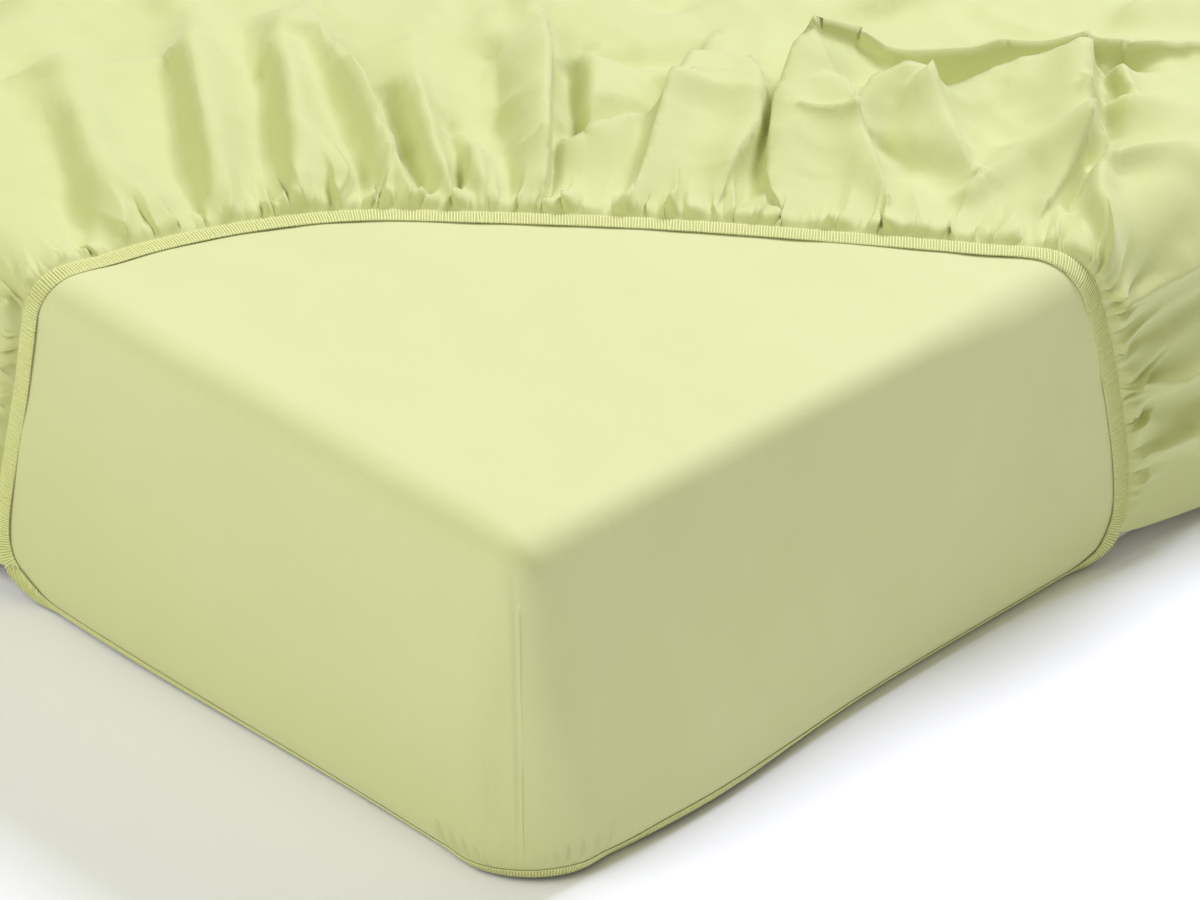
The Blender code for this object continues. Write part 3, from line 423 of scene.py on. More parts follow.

# %% [markdown]
# ## Main folds
#
# Each row of this table is one fold that shows in the picture: how wide its left and right
# flanks are in metres, and the points its crest runs through, each with its own height in
# millimetres above the heap (below zero for a trough), which `FOLD_SCALE` then makes taller. A
# flank of a few millimetres gives a crisp edge that the cloth leans over, a flank of some
# centimetres a soft slope. Each fold starts narrow at the elastic and grows wider. The rows
# run from the left of the picture to the right, and the last ones lie behind, out of sight.

# %% Fold table
FOLDS = [
    # left flank, right flank, (x, y, height in mm) along the crest
    (0.022, 0.024, (-0.907, 0.034, 5), (-0.888, 0.088, 11), (-0.836, 0.194, 11), (-0.780, 0.300, 4)),
    (0.020, 0.012, (-0.945, 0.045, -5), (-0.905, 0.115, -9), (-0.860, 0.190, -4)),
    (0.012, 0.030, (-0.830, 0.270, 5), (-0.775, 0.230, 7), (-0.720, 0.210, 4)),
    (0.018, 0.020, (-0.885, 0.025, 5), (-0.870, 0.055, 8), (-0.870, 0.085, 4)),
    (0.017, 0.026, (-0.832, 0.018, 5), (-0.790, 0.080, 14), (-0.745, 0.145, 15), (-0.705, 0.205, 12),
     (-0.660, 0.260, 5)),
    (0.026, 0.010, (-0.832, 0.040, -4), (-0.788, 0.118, -7), (-0.738, 0.192, -5)),
    (0.016, 0.018, (-0.785, -0.030, 5), (-0.730, 0.045, 13), (-0.690, 0.100, 14), (-0.650, 0.160, 12),
     (-0.610, 0.210, 6)),
    (0.024, 0.010, (-0.780, -0.005, -4), (-0.735, 0.070, -7), (-0.682, 0.138, -5)),
    (0.014, 0.006, (-0.760, -0.055, 5), (-0.738, -0.018, 9), (-0.720, 0.020, 4)),
    (0.014, 0.012, (-0.732, -0.046, -5), (-0.697, 0.022, -9), (-0.635, 0.155, -7)),
    (0.030, 0.006, (-0.717, -0.082, 6), (-0.686, -0.004, 14), (-0.654, 0.060, 17), (-0.622, 0.140, 14),
     (-0.580, 0.200, 6)),
    (0.008, 0.018, (-0.702, -0.088, -5), (-0.670, -0.014, -9), (-0.630, 0.055, -5)),
    (0.018, 0.009, (-0.694, -0.100, 5), (-0.658, -0.038, 12), (-0.620, 0.015, 11), (-0.585, 0.065, 6),
     (-0.540, 0.120, 2)),
    (0.008, 0.010, (-0.674, -0.098, -4), (-0.640, -0.045, -8), (-0.615, -0.002, -4)),
    (0.014, 0.012, (-0.675, -0.124, 5), (-0.642, -0.074, 11), (-0.628, -0.034, 7)),
    (0.022, 0.008, (-0.652, -0.118, -4), (-0.585, -0.036, -9), (-0.518, 0.042, -6)),
    (0.030, 0.004, (-0.654, -0.163, 4), (-0.597, -0.100, 15), (-0.508, -0.007, 18), (-0.450, 0.055, 8)),
    (0.005, 0.007, (-0.640, -0.155, -5), (-0.600, -0.115, -7), (-0.565, -0.078, -4)),
    (0.009, 0.012, (-0.550, -0.092, -7), (-0.485, -0.015, -7)),
    (0.010, 0.025, (-0.555, -0.115, 4), (-0.510, -0.070, 9), (-0.465, -0.022, 8)),
    (0.004, 0.035, (-0.590, -0.105, 6), (-0.573, -0.119, 9), (-0.529, -0.124, 9), (-0.462, -0.132, 6)),
    (0.020, 0.005, (-0.560, -0.095, -4), (-0.520, -0.105, -6), (-0.465, -0.112, -4)),
    (0.005, 0.030, (-0.602, -0.204, 4), (-0.556, -0.182, 9), (-0.500, -0.150, 12), (-0.449, -0.118, 13),
     (-0.409, -0.093, 11), (-0.370, -0.070, 5)),
    (0.012, 0.005, (-0.580, -0.180, -3), (-0.500, -0.128, -6), (-0.455, -0.098, -6)),
    (0.028, 0.006, (-0.530, -0.237, 4), (-0.512, -0.225, 8), (-0.454, -0.198, 11), (-0.421, -0.171, 12),
     (-0.396, -0.141, 9)),
    (0.020, 0.020, (-0.457, -0.025, -8), (-0.395, -0.077, -8)),
    (0.010, 0.014, (-0.530, -0.262, -3), (-0.480, -0.228, -6), (-0.435, -0.195, -6), (-0.395, -0.165, -4)),
    (0.005, 0.045, (-0.505, -0.270, 4), (-0.492, -0.254, 7), (-0.431, -0.207, 15), (-0.373, -0.176, 19),
     (-0.354, -0.174, 19)),
    (0.020, 0.005, (-0.449, -0.340, 5), (-0.432, -0.308, 8), (-0.399, -0.258, 10), (-0.380, -0.232, 9),
     (-0.355, -0.175, 4)),
    (0.006, 0.006, (-0.424, -0.228, 3), (-0.401, -0.258, 4)),
    (0.005, 0.030, (-0.387, -0.248, 4), (-0.355, -0.240, 8), (-0.336, -0.252, 9), (-0.327, -0.266, 6)),
    (0.032, 0.006, (-0.383, -0.378, 3), (-0.358, -0.327, 9), (-0.327, -0.266, 12)),
    (0.016, 0.026, (-0.396, -0.284, -5), (-0.400, -0.320, -7), (-0.390, -0.355, -5)),
    (0.024, 0.014, (-0.375, -0.215, -4), (-0.325, -0.222, -5), (-0.285, -0.262, -4)),
    (0.006, 0.050, (-0.322, -0.273, 6), (-0.252, -0.290, 10), (-0.200, -0.331, 12)),
    (0.045, 0.004, (-0.280, -0.398, 8), (-0.206, -0.336, 12)),
    (0.004, 0.020, (-0.262, -0.405, -6), (-0.204, -0.352, -10), (-0.166, -0.336, -8)),
    (0.020, 0.020, (-0.400, -0.382, 6), (-0.338, -0.380, 9), (-0.291, -0.408, 10)),
    (0.030, 0.005, (-0.365, -0.434, 4), (-0.330, -0.422, 8), (-0.290, -0.408, 10)),
    (0.004, 0.012, (-0.355, -0.446, -6), (-0.285, -0.420, -8)),
    (0.020, 0.006, (-0.354, -0.174, 8), (-0.310, -0.184, 12), (-0.302, -0.208, 10), (-0.224, -0.265, 12),
     (-0.136, -0.335, 12), (-0.060, -0.400, 5)),
    (0.006, 0.014, (-0.300, -0.222, -5), (-0.235, -0.283, -7), (-0.160, -0.350, -6)),
    (0.012, 0.020, (-0.240, -0.368, 6), (-0.214, -0.399, 8), (-0.190, -0.430, 5)),
    (0.010, 0.014, (-0.204, -0.382, 8), (-0.172, -0.334, 6)),
    (0.010, 0.012, (-0.381, -0.503, 5), (-0.348, -0.471, 11), (-0.313, -0.440, 11)),
    (0.010, 0.014, (-0.300, -0.441, 9), (-0.275, -0.449, 8), (-0.240, -0.470, 6)),
    (0.009, 0.012, (-0.370, -0.535, 5), (-0.300, -0.520, 10), (-0.230, -0.515, 7)),
    (0.010, 0.010, (-0.350, -0.580, -5), (-0.220, -0.565, -7)),
    (0.008, 0.014, (-0.345, -0.615, 5), (-0.290, -0.630, 10), (-0.220, -0.625, 7)),
    (0.010, 0.010, (-0.335, -0.650, -5), (-0.220, -0.670, -7)),
    (0.008, 0.012, (-0.330, -0.690, 5), (-0.270, -0.690, 9), (-0.210, -0.705, 6)),
    (0.040, 0.040, (-0.650, 0.300, 8), (-0.450, 0.345, 11), (-0.250, 0.340, 8)),
    (0.020, 0.045, (-0.420, 0.100, 8), (-0.250, 0.200, 13), (0.050, 0.190, 9)),
    (0.040, 0.040, (-0.330, 0.020, -10), (-0.100, 0.050, -14), (0.250, 0.080, -8)),
    (0.040, 0.020, (-0.220, -0.130, 9), (0.050, -0.130, 13), (0.300, -0.060, 8)),
    (0.030, 0.045, (-0.080, -0.290, 10), (0.120, -0.330, 11), (0.300, -0.300, 8)),
    (0.035, 0.035, (-0.120, -0.560, 9), (0.100, -0.560, 12), (0.320, -0.600, 8)),
    (0.035, 0.035, (-0.950, 0.300, 8), (-0.700, 0.380, 12)),
    (0.025, 0.030, (-1.150, 0.150, 8), (-1.000, 0.190, 12), (-0.890, 0.260, 8)),
    (0.030, 0.030, (-1.180, 0.260, 12), (-1.000, 0.320, 10)),
]
LEAN = 0.30
CRISP = 0.009
SOFTER = 0.0045
NARROW = 0.55
FOLD_SCALE = 0.00172
GROW_OVER = 0.07
CRISP_POWER = 1.35
SOFT_POWER = 2.0
FAR_AWAY = 9.0
FAR_ACROSS = 6.0


def grown(run):
    """Share of its full width that a fold has some way along its crest."""
    return NARROW + (1 - NARROW) * soft_step(run / GROW_OVER)


def fold_shape(x, y):
    """Height of the listed folds at places of the plan, and their sideways lean."""
    lift = np.zeros(x.shape)
    lean_x = np.zeros(x.shape)
    lean_y = np.zeros(x.shape)
    for left, right, *crest in FOLDS:
        crest = np.array(crest)
        best = np.full(x.shape, FAR_AWAY)
        side, way_x, way_y, height, run = (np.zeros(x.shape) for _ in range(5))
        start = 0.0
        for a, b in zip(crest[:-1], crest[1:]):
            length = float(np.hypot(*(b - a)[:2]))
            ex, ey = (b - a)[:2] / length
            t = np.clip(((x - a[0]) * ex + (y - a[1]) * ey) / length, 0.0, 1.0)
            away = np.hypot(x - a[0] - ex * t * length, y - a[1] - ey * t * length)
            near = away < best
            best = np.where(near, away, best)
            side = np.where(near, (x - a[0]) * -ey + (y - a[1]) * ex, side)
            height = np.where(near, a[2] + (b[2] - a[2]) * t, height)
            run = np.where(near, start + length * t, run)
            way_x, way_y = np.where(near, ex, way_x), np.where(near, ey, way_y)
            start += length
        half = np.where(side > 0, left, right)
        slope = np.hypot(half, SOFTER)
        across = np.minimum(best / (slope * grown(run)), FAR_ACROSS)
        part = FOLD_SCALE * height * np.exp(-across ** np.where(half < CRISP, CRISP_POWER, SOFT_POWER))
        lean = LEAN * ((left < CRISP) * 1.0 - (right < CRISP) * 1.0)
        lift += part
        lean_x += -way_y * lean * np.maximum(part, 0.0)
        lean_y += way_x * lean * np.maximum(part, 0.0)
    return lift, lean_x, lean_y


highest_fold = FOLD_SCALE * max(point[2] for row in FOLDS for point in row[2:])
print(f"{len(FOLDS)} folds, the highest {highest_fold * 1000:.0f} mm")

# %% [markdown]
# ## Small gathers along the elastic
#
# Where elastic draws cotton in, the cloth stands up in little puckers right at the stitching.
# They are tight and short at first, join into wider ones further out, and at last into the
# main folds. Four sizes of pucker, each with its own spacing, reach and height, give that.
# A pucker is a small tent with a crisp crest off its middle, and it leans to that side.

# %% Gathers
GATHERS = [
    # spacing, reach, height, pinch, seed
    (0.0062, 0.0085, 0.0040, 0.0005, 11),
    (0.0115, 0.0150, 0.0088, 0.0016, 23),
    (0.0210, 0.0270, 0.0100, 0.0024, 37),
    (0.0420, 0.0440, 0.0080, 0.0030, 53),
]
GATHER_START = 0.0078
GATHER_RISE = 0.0042
RISE_SHARPNESS = 1.2
GATHER_WIDE = (0.45, 1.75)
GATHER_TALL = (0.15, 1.35)
GATHER_FAR = (0.45, 1.70)
GATHER_OFF_MIDDLE = (0.06, 0.26)
GATHER_CREST = (0.20, 0.80)
GATHER_SLANT = 0.25
GATHER_LEAN = 1.3
DRIFT = 0.16
DRIFT_LENGTH = 7
TENT_POWER = 1.7
FADE_POWER = 1.5
EDGE_LENGTH_SEEN = float(edge_run[-1])


def gather_shape(run, depth):
    """Height of the puckers and their shift along the elastic."""
    lift = np.zeros(run.shape)
    shift = np.zeros(run.shape)
    beyond = np.maximum(depth - GATHER_START, 0.0)
    rise = 1 - np.exp(-(beyond / GATHER_RISE) ** RISE_SHARPNESS)
    for spacing, reach, height, pinch, seed in GATHERS:
        rng = np.random.default_rng(seed)
        count = int(EDGE_LENGTH_SEEN / spacing) + 4
        bounds = np.cumsum(spacing * rng.uniform(*GATHER_WIDE, count + 1)) - 2 * spacing
        tall = rng.uniform(*GATHER_TALL, count)
        far = rng.uniform(*GATHER_FAR, count)
        crest = 0.5 + rng.choice([-1.0, 1.0], count) * rng.uniform(*GATHER_OFF_MIDDLE, count)
        slant = rng.uniform(-GATHER_SLANT, GATHER_SLANT, count)
        drift = DRIFT * depth * np.sin(run * 2 * math.pi / (spacing * DRIFT_LENGTH) + seed)
        k = np.clip(np.searchsorted(bounds, run + drift) - 1, 0, count - 1)
        v = np.clip((run + drift - bounds[k]) / (bounds[k + 1] - bounds[k]), 0.0, 1.0)
        top = np.clip(crest[k] + slant[k] * np.minimum(beyond / reach, 1.0), *GATHER_CREST)
        flank = np.where(v < top, v / top, (1 - v) / (1 - top))
        fade = np.exp(-(beyond / (reach * far[k])) ** FADE_POWER)
        part = height * tall[k] * flank ** TENT_POWER * fade * rise
        lift += part
        shift += GATHER_LEAN * (top - 0.5) * part - pinch * np.sin(2 * math.pi * v) * fade * rise
    return lift, shift


LOOK_AT = 0.02
test_lift = gather_shape(edge_run, np.full(edge_run.shape, LOOK_AT))[0]
print(f"puckers 20 mm out: up to {test_lift.max() * 1000:.1f} mm high")

# %% [markdown]
# ## Slow unevenness
#
# No cloth on a bed is ruled with a straightedge. A sum of a few long waves in random
# directions gives a calm unevenness, which is used for the smooth part and the tape. Folded at
# zero, the same waves give the sharp little ridges of crumpled cloth, for the heap.

# %% Unevenness
WAVES = 7
WAVE_LENGTHS = (0.7, 1.5)
WAVE_START = 6.28
WAVE_SUM = 3.2
CREASE_BEND = 0.25
CREASE_BEND_WAVE = 1.7
CREASE_WAVE = 1.3


def unevenness(x, y, wave, seed):
    """Calm random surface between about -1 and 1, with waves of the given length."""
    rng = np.random.default_rng(seed)
    total = np.zeros(np.shape(x))
    for _ in range(WAVES):
        way = rng.uniform(0, 2 * math.pi)
        size = wave * rng.uniform(*WAVE_LENGTHS)
        run = (x * math.cos(way) + y * math.sin(way)) * 2 * math.pi / size
        total = total + np.sin(run + rng.uniform(0, WAVE_START))
    return total / WAVE_SUM


def creases(x, y, wave, seed):
    """Unevenness with sharp ridges, as crumpled cloth has."""
    bent_x = x + CREASE_BEND * wave * unevenness(x, y, wave * CREASE_BEND_WAVE, seed + 1)
    bent_y = y + CREASE_BEND * wave * unevenness(x, y, wave * CREASE_BEND_WAVE, seed + 2)
    return 1 - 2 * np.abs(unevenness(bent_x, bent_y, wave * CREASE_WAVE, seed))


# %% [markdown]
# ## How far from a line
#
# Much on a bed depends on how far a place is from a hem or a fold. `nearest_on_line` answers
# that for many places at once, and says how far along the line the nearest point lies. The
# bend needs it first: it is tight at its two ends and round in the middle.

# %% Distances and the bend
LEAST_SQUARE = 1e-12
BEND_R_END = 0.0018
BEND_R_MID = 0.008
BEND_GROW = 0.15


def nearest_on_line(x, y, line):
    """Distance of places from a line, and how far along it the nearest point lies."""
    best = np.full(x.shape, FAR_AWAY)
    place = np.zeros(x.shape)
    for k, (a, b) in enumerate(zip(line[:-1], line[1:])):
        d = b - a
        along = ((x - a[0]) * d[0] + (y - a[1]) * d[1]) / max(float(d @ d), LEAST_SQUARE)
        t = np.clip(along, 0.0, 1.0)
        away = np.hypot(x - a[0] - d[0] * t, y - a[1] - d[1] * t)
        nearer = away < best
        best = np.where(nearer, away, best)
        place = np.where(nearer, (k + t) / (len(line) - 1), place)
    return best, place


def line_distance(x, y, line):
    """Distance of places from a line on the plan."""
    return nearest_on_line(x, y, line)[0]


bend_marks, bend_length = space_out(bend_line, BACK_COLUMNS)
bend_run = np.linspace(0.0, bend_length, BACK_COLUMNS + 1)
from_ends = np.minimum(bend_run, bend_length - bend_run)
bend_radius = BEND_R_END + (BEND_R_MID - BEND_R_END) * soft_step(from_ends / BEND_GROW)
print(f"bend radius {bend_radius.min() * 1000:.1f} to {bend_radius.max() * 1000:.1f} mm")

# %% [markdown]
# ## Height of the turned-back layer
#
# This layer starts flat under the elastic, jumps up where the gathers begin, and lies as a
# loose heap further back until it bends round to the layer below. On the side faces gravity
# holds it closer. A cloth simulation would settle it too, but it lets go of the folds that
# the picture shows, so their heights are simply added up.

# %% Shape the turned-back layer
RISE_QUICK = 0.0030
RISE_QUICK_OVER = 0.005
RISE_LEAST = 0.35
RISE_LEAST_OVER = 0.008
RISE_TOP = 0.028
RISE_SIDE = 0.014
RISE_LENGTH = 0.110
RISE_POWER = 1.5
SOFT_FLOOR = 0.003
FOLD_START = 0.03
FOLD_FADE = 0.06
CREASE_FROM = 0.02
CREASE_OVER = 0.12
LARGE_CREASE = 0.0024
LARGE_CREASE_WAVE = 0.12
SMALL_CREASE = 0.0007
SMALL_CREASE_WAVE = 0.050
HEM_LIFT = 0.0013


def turned_back(x, y, offsets, run, along):
    """Points in space of the turned-back layer."""
    q = core_offset(x, y)[4]
    beyond = np.maximum(offsets - GATHER_START, 0.0)
    to_bend, place = nearest_on_line(x, y, bend_marks[::4])
    radius = np.interp(place, np.linspace(0, 1, len(bend_radius)), bend_radius)
    near_bend = soft_step(to_bend / FOLD_FADE)
    on_side = soft_step((q - LIP) / (ROLL_END - LIP))
    fold_lift, lean_x, lean_y = fold_shape(x, y)
    pucker, shift = gather_shape(run, offsets)
    room = soft_step(beyond / FOLD_START)
    heap = RISE_TOP + (RISE_SIDE - RISE_TOP) * on_side
    quick = 1 - np.exp(-beyond / RISE_QUICK_OVER)
    rise = RISE_QUICK * quick + heap * (1 - np.exp(-(beyond / RISE_LENGTH) ** RISE_POWER))
    rise += fold_lift * room + pucker
    far = soft_step((beyond - CREASE_FROM) / CREASE_OVER)
    crumple = LARGE_CREASE * creases(x, y, LARGE_CREASE_WAVE, 5)
    crumple += SMALL_CREASE * creases(x, y, SMALL_CREASE_WAVE, 8)
    rise += far * crumple
    least = RISE_LEAST * RISE_QUICK * (1 - np.exp(-beyond / RISE_LEAST_OVER))
    rise = 0.5 * (rise + least + np.sqrt((rise - least) ** 2 + SOFT_FLOOR ** 2)) - 0.5 * SOFT_FLOOR
    rise = np.maximum(rise, 0.0) * near_bend
    base = HEM_LIFT + (2 * radius - HEM_LIFT) * (1 - near_bend)
    side_x = along[:, 0] * shift * near_bend + lean_x * near_bend * room
    side_y = along[:, 1] * shift * near_bend + lean_y * near_bend * room
    return wrap(x + side_x, y + side_y, smooth_height(x, y) + base + rise)


edge_along = np.stack([-square[:, 1], square[:, 0]], axis=1)
strip_points = [turned_back(p[:, 0], p[:, 1], o, edge_run, edge_along) for p, o in strip_rows]
print(f"gathered strip reaches {max(p[:, 2].max() for p in strip_points):.4f} m high")

# %% [markdown]
# ## Points of the heap
#
# Behind the strip, sharp folds cross the cloth at every angle. A square grid would turn
# their edges into stairs. So rows of points are laid along each fold first, on its crest and
# its flanks, and only the space between them is filled with loosely spaced points, closer
# together in front than at the back.

# %% Places of the heap
FOLD_STEP = 0.0034
FOLD_LINES = (0.0, 0.22, -0.22, 0.55, -0.55, 1.0, -1.0, 1.6, -1.6)
FRONT_STEP = 0.0042
BACK_STEP = 0.0125
STEP_GROWS_OVER = 0.42
STEP_GROWTH = 1.4
HEAP_DEPTH = 1.1
ROW_SHARE = 0.87
COLUMN_STEP = 0.0016


def spacing(away):
    """Spacing of the loose points at a distance from the elastic."""
    grown_share = np.clip(away / STEP_GROWS_OVER, 0.0, 1.0) ** STEP_GROWTH
    return FRONT_STEP + (BACK_STEP - FRONT_STEP) * grown_share


fold_places = []
for left, right, *crest in FOLDS:
    run = 0.0
    for a, b in zip(crest[:-1], crest[1:]):
        length = math.hypot(b[0] - a[0], b[1] - a[1])
        ex, ey = (b[0] - a[0]) / length, (b[1] - a[1]) / length
        for line in FOLD_LINES:
            half = math.hypot(left if line > 0 else right, SOFTER)
            for u in np.arange(0.0, length, FOLD_STEP):
                v = line * half * float(grown(run + u))
                fold_places.append((a[0] + ex * u - ey * v, a[1] + ey * u + ex * v))
        run += length
fold_places = np.array(fold_places)
loose_places = []
row_depth = STRIP_REACH
while row_depth < HEAP_DEPTH:
    step = float(spacing(row_depth - STRIP_REACH))
    row_depth += step * ROW_SHARE
    offsets = np.minimum(row_depth * strip_scale, depth)
    row = row_places(start, square, end, offsets, depth)[row_depth * strip_scale < depth]
    skip = max(int(round(step / COLUMN_STEP)), 1)
    loose_places.append(row[(len(loose_places) % 2) * (skip // 2)::skip])
loose_places = np.vstack(loose_places)
print(len(fold_places), "places along folds,", len(loose_places), "loose places")

# %% [markdown]
# ## Fill an outline with triangles
#
# A Delaunay fill joins scattered points with triangles that are as even as they can be, which
# no grid does round a curved outline. It also fills hollows of the outline, so the triangles
# whose middle lies outside are dropped again.

# %% Fill helpers
LINE_TOLERANCE = 1e-7


def in_ring(places, ring, line, margin):
    """Places inside a ring and off its edge."""
    lows, highs = ring.min(axis=0), ring.max(axis=0)
    places = places[np.all((places > lows) & (places < highs), axis=1)]
    places = places[inside(places[:, 0], places[:, 1], ring)]
    return places[line_distance(places[:, 0], places[:, 1], line) > margin]


def inside(x, y, ring):
    """True for places inside a closed ring."""
    hits = np.zeros(x.shape, dtype=int)
    for a, b in zip(ring, np.roll(ring, -1, axis=0)):
        if a[1] != b[1]:
            crosses = (a[1] > y) != (b[1] > y)
            hits += crosses & (x < (b[0] - a[0]) * (y - a[1]) / (b[1] - a[1]) + a[0])
    return hits % 2 == 1


def fill_ring(ring, places):
    """Triangles that fill a ring and use the places inside it."""
    corners = [Vector((float(x), float(y))) for x, y in np.vstack([ring, places])]
    fill = delaunay_2d_cdt(corners, [], [list(range(len(ring)))], 1, LINE_TOLERANCE, True)
    plan = np.array([(v.x, v.y) for v in fill[0]])
    faces = np.array([tuple(f) for f in fill[2]])
    middles = plan[faces].mean(axis=1)
    faces = faces[inside(middles[:, 0], middles[:, 1], ring)]
    place_of = {old: new for new, olds in enumerate(fill[3]) for old in olds}
    return plan, faces, [place_of[i] for i in range(len(ring))]


heap_front = strip_rows[-1][0]
heap_ring = np.vstack([heap_front[:-1], bend_marks[::-1][:-1]])
heap_line = np.vstack([heap_ring, heap_ring[:1]])
print(f"outline of the heap: {len(heap_ring)} points")

# %% [markdown]
# ## Fill the heap
#
# The places are thinned first, so that none sit too close together: a place on a fold may
# crowd out a loose one, but not the other way round. A table of small cells finds the
# neighbours of a place quickly. The triangles that the fill makes of the rest are then even.

# %% Fill the heap
CELL = 0.004
RIM_MARGIN = 0.002
FOLD_GAP = 0.0017
LOOSE_GAP = 0.72


class Places:
    """Places of the plan that keep their distance from each other."""

    def __init__(self, cell):
        self.cell = cell
        self.table = {}
        self.kept = []

    def add(self, x, y, gap):
        """Keep a place if nothing kept is nearer than the gap."""
        i, j = int(x // self.cell), int(y // self.cell)
        reach = int(gap // self.cell) + 1
        for a in range(i - reach, i + reach + 1):
            for b in range(j - reach, j + reach + 1):
                for ox, oy in self.table.get((a, b), ()):
                    if (ox - x) ** 2 + (oy - y) ** 2 < gap * gap:
                        return
        self.table.setdefault((i, j), []).append((x, y))
        self.kept.append((x, y))


rough_line = heap_line[::3]
heap_places = Places(CELL)
for x, y in in_ring(fold_places, heap_ring, rough_line, RIM_MARGIN):
    heap_places.add(float(x), float(y), FOLD_GAP)
inner_places = in_ring(loose_places, heap_ring, rough_line, RIM_MARGIN)
to_edge = line_distance(inner_places[:, 0], inner_places[:, 1], climb_line[::8])
for (x, y), away in zip(inner_places, to_edge):
    heap_places.add(float(x), float(y), LOOSE_GAP * float(spacing(away - STRIP_REACH)))
heap_plan, heap_triangles, heap_rim = fill_ring(heap_ring, np.array(heap_places.kept))
print(f"heap: {len(heap_plan)} points, {len(heap_triangles)} triangles")

# %% [markdown]
# ## Raise the heap
#
# Every place of the heap gets its height from the same function as the gathered strip. It
# needs to know how far it is from the elastic and beside which column. What small step is
# left where the fill meets the strip is eased out over 30 mm, so no seam shows.

# %% Raise the heap
EASE_OVER = 0.03
heap_away, heap_run_share = nearest_on_line(heap_plan[:, 0], heap_plan[:, 1], start[::8])
column_numbers = np.arange(STRIP_COLUMNS + 1)
heap_column = heap_run_share * STRIP_COLUMNS
heap_along = np.stack([np.interp(heap_column, column_numbers, edge_along[:, k]) for k in (0, 1)], axis=1)
heap_points = turned_back(heap_plan[:, 0], heap_plan[:, 1], heap_away,
                          heap_run_share * EDGE_LENGTH_SEEN, heap_along)
front_away, front_share = nearest_on_line(heap_plan[:, 0], heap_plan[:, 1], heap_front[::4])
front_rim = heap_rim[:STRIP_COLUMNS + 1]
step_up = strip_points[-1] - heap_points[front_rim]
for k in range(3):
    ease = np.interp(front_share * STRIP_COLUMNS, column_numbers, step_up[:, k])
    heap_points[:, k] += ease * (1 - soft_step(front_away / EASE_OVER))
heap_points[front_rim] = strip_points[-1]
print(f"the heap stands up to {heap_points[:, 2].max():.4f} m high")

# %% [markdown]
# ## The smooth layer
#
# Under the elastic the sheet is one calm layer that hugs the mattress. It is filled from its
# outline with points set along the rounded edges and on a grid, finely where it shows and
# coarsely where the heap covers it. Rows of points fan round the corner, closest at the seam.
# A Delaunay fill makes the triangles.

# %% Fill the smooth layer
SEEN_STEP = 0.0075
HIDDEN_STEP = 0.055
ROLL_STEP = 0.0032
ROLL_MARGIN = 0.012
FOOT_MARGIN = 0.01
GRID_END = 0.50
FOOT_MARKS = 240
CLIMB_MARKS = 160
HALF_CORNER = 45
SEAM_STEPS = (0.0, 1.0, 2.0, 3.2, 5.0, 7.5, 11.0, 15.5, 21.0, 28.0, 36.0, 45.0)
FEW_TURNS_TO = 0.02
SEEN_PAST_EDGE = 0.02
OFF_RIM = 0.0024


def ring_distances():
    """Distances from the core at which the smooth layer has rows of points."""
    top = np.arange(SEEN_STEP, LIP - ROLL_MARGIN, SEEN_STEP)
    roll = np.arange(LIP - ROLL_MARGIN, ROLL_END + ROLL_MARGIN, ROLL_STEP)
    face = np.arange(ROLL_END + ROLL_MARGIN + SEEN_STEP, FACE_END - FOOT_MARGIN, SEEN_STEP)
    foot = np.arange(FACE_END - FOOT_MARGIN, HEM_Q, ROLL_STEP)
    return np.concatenate([top, roll, face, foot])


side_x = np.arange(-CORE_X, GRID_END, SEEN_STEP)
end_y = np.arange(-CORE_Y, GRID_END, SEEN_STEP)
seam_degrees = sorted({HALF_CORNER + side * s for s in SEAM_STEPS for side in (-1, 1)})
seam_turns = np.radians(seam_degrees)[1:-1]
grid = [np.stack(np.meshgrid(side_x, end_y), axis=-1).reshape(-1, 2)]
for q in ring_distances():
    grid.append(np.stack([side_x, np.full(side_x.shape, -CORE_Y - q)], axis=1))
    grid.append(np.stack([np.full(end_y.shape, -CORE_X - q), end_y], axis=1))
    turns = seam_turns if q > FEW_TURNS_TO else seam_turns[::3]
    grid.append(np.stack([-CORE_X - q * np.cos(turns), -CORE_Y - q * np.sin(turns)], axis=1))
grid = np.vstack(grid)

foot_marks, _ = space_out(foot_line, FOOT_MARKS)
smooth_ring = np.vstack([foot_marks[:-1], bend_marks[:-1]])
seen_ring = np.vstack([foot_marks[:-1], space_out(climb_line, CLIMB_MARKS)[0][:-1]])
closed_ring = np.vstack([smooth_ring, smooth_ring[:1]])
seen = inside(grid[:, 0], grid[:, 1], seen_ring)
seen |= line_distance(grid[:, 0], grid[:, 1], climb_line[::8]) < SEEN_PAST_EDGE
grid_in = inside(grid[:, 0], grid[:, 1], smooth_ring)
grid_q = core_offset(grid[:, 0], grid[:, 1])[4]
every = int(round(HIDDEN_STEP / SEEN_STEP))
on_column = np.round((grid[:, 0] + CORE_X) / SEEN_STEP).astype(int) % every == 0
on_row = np.round((grid[:, 1] + CORE_Y) / SEEN_STEP).astype(int) % every == 0
on_ring = np.isin(np.round(grid_q, 4), np.round(ring_distances()[::4], 4))
coarse = np.where(grid_q > 0, on_ring & (on_column | on_row), on_column & on_row)
off_rim = line_distance(grid[:, 0], grid[:, 1], closed_ring[::2]) > OFF_RIM
kept = grid[grid_in & off_rim & (seen | coarse)]
smooth_plan, triangles, smooth_rim = fill_ring(smooth_ring, kept)
print(f"smooth layer: {len(smooth_plan)} points, {len(triangles)} triangles")

# %% [markdown]
# ## The corner seam
#
# The corner of a fitted sheet is sewn up from the hem to the top. Outside it shows as a fine
# groove with a soft hollow beside it, where the seam allowance pulls. Both are pressed into
# the smooth layer as heights, so that the cloth stays one surface.

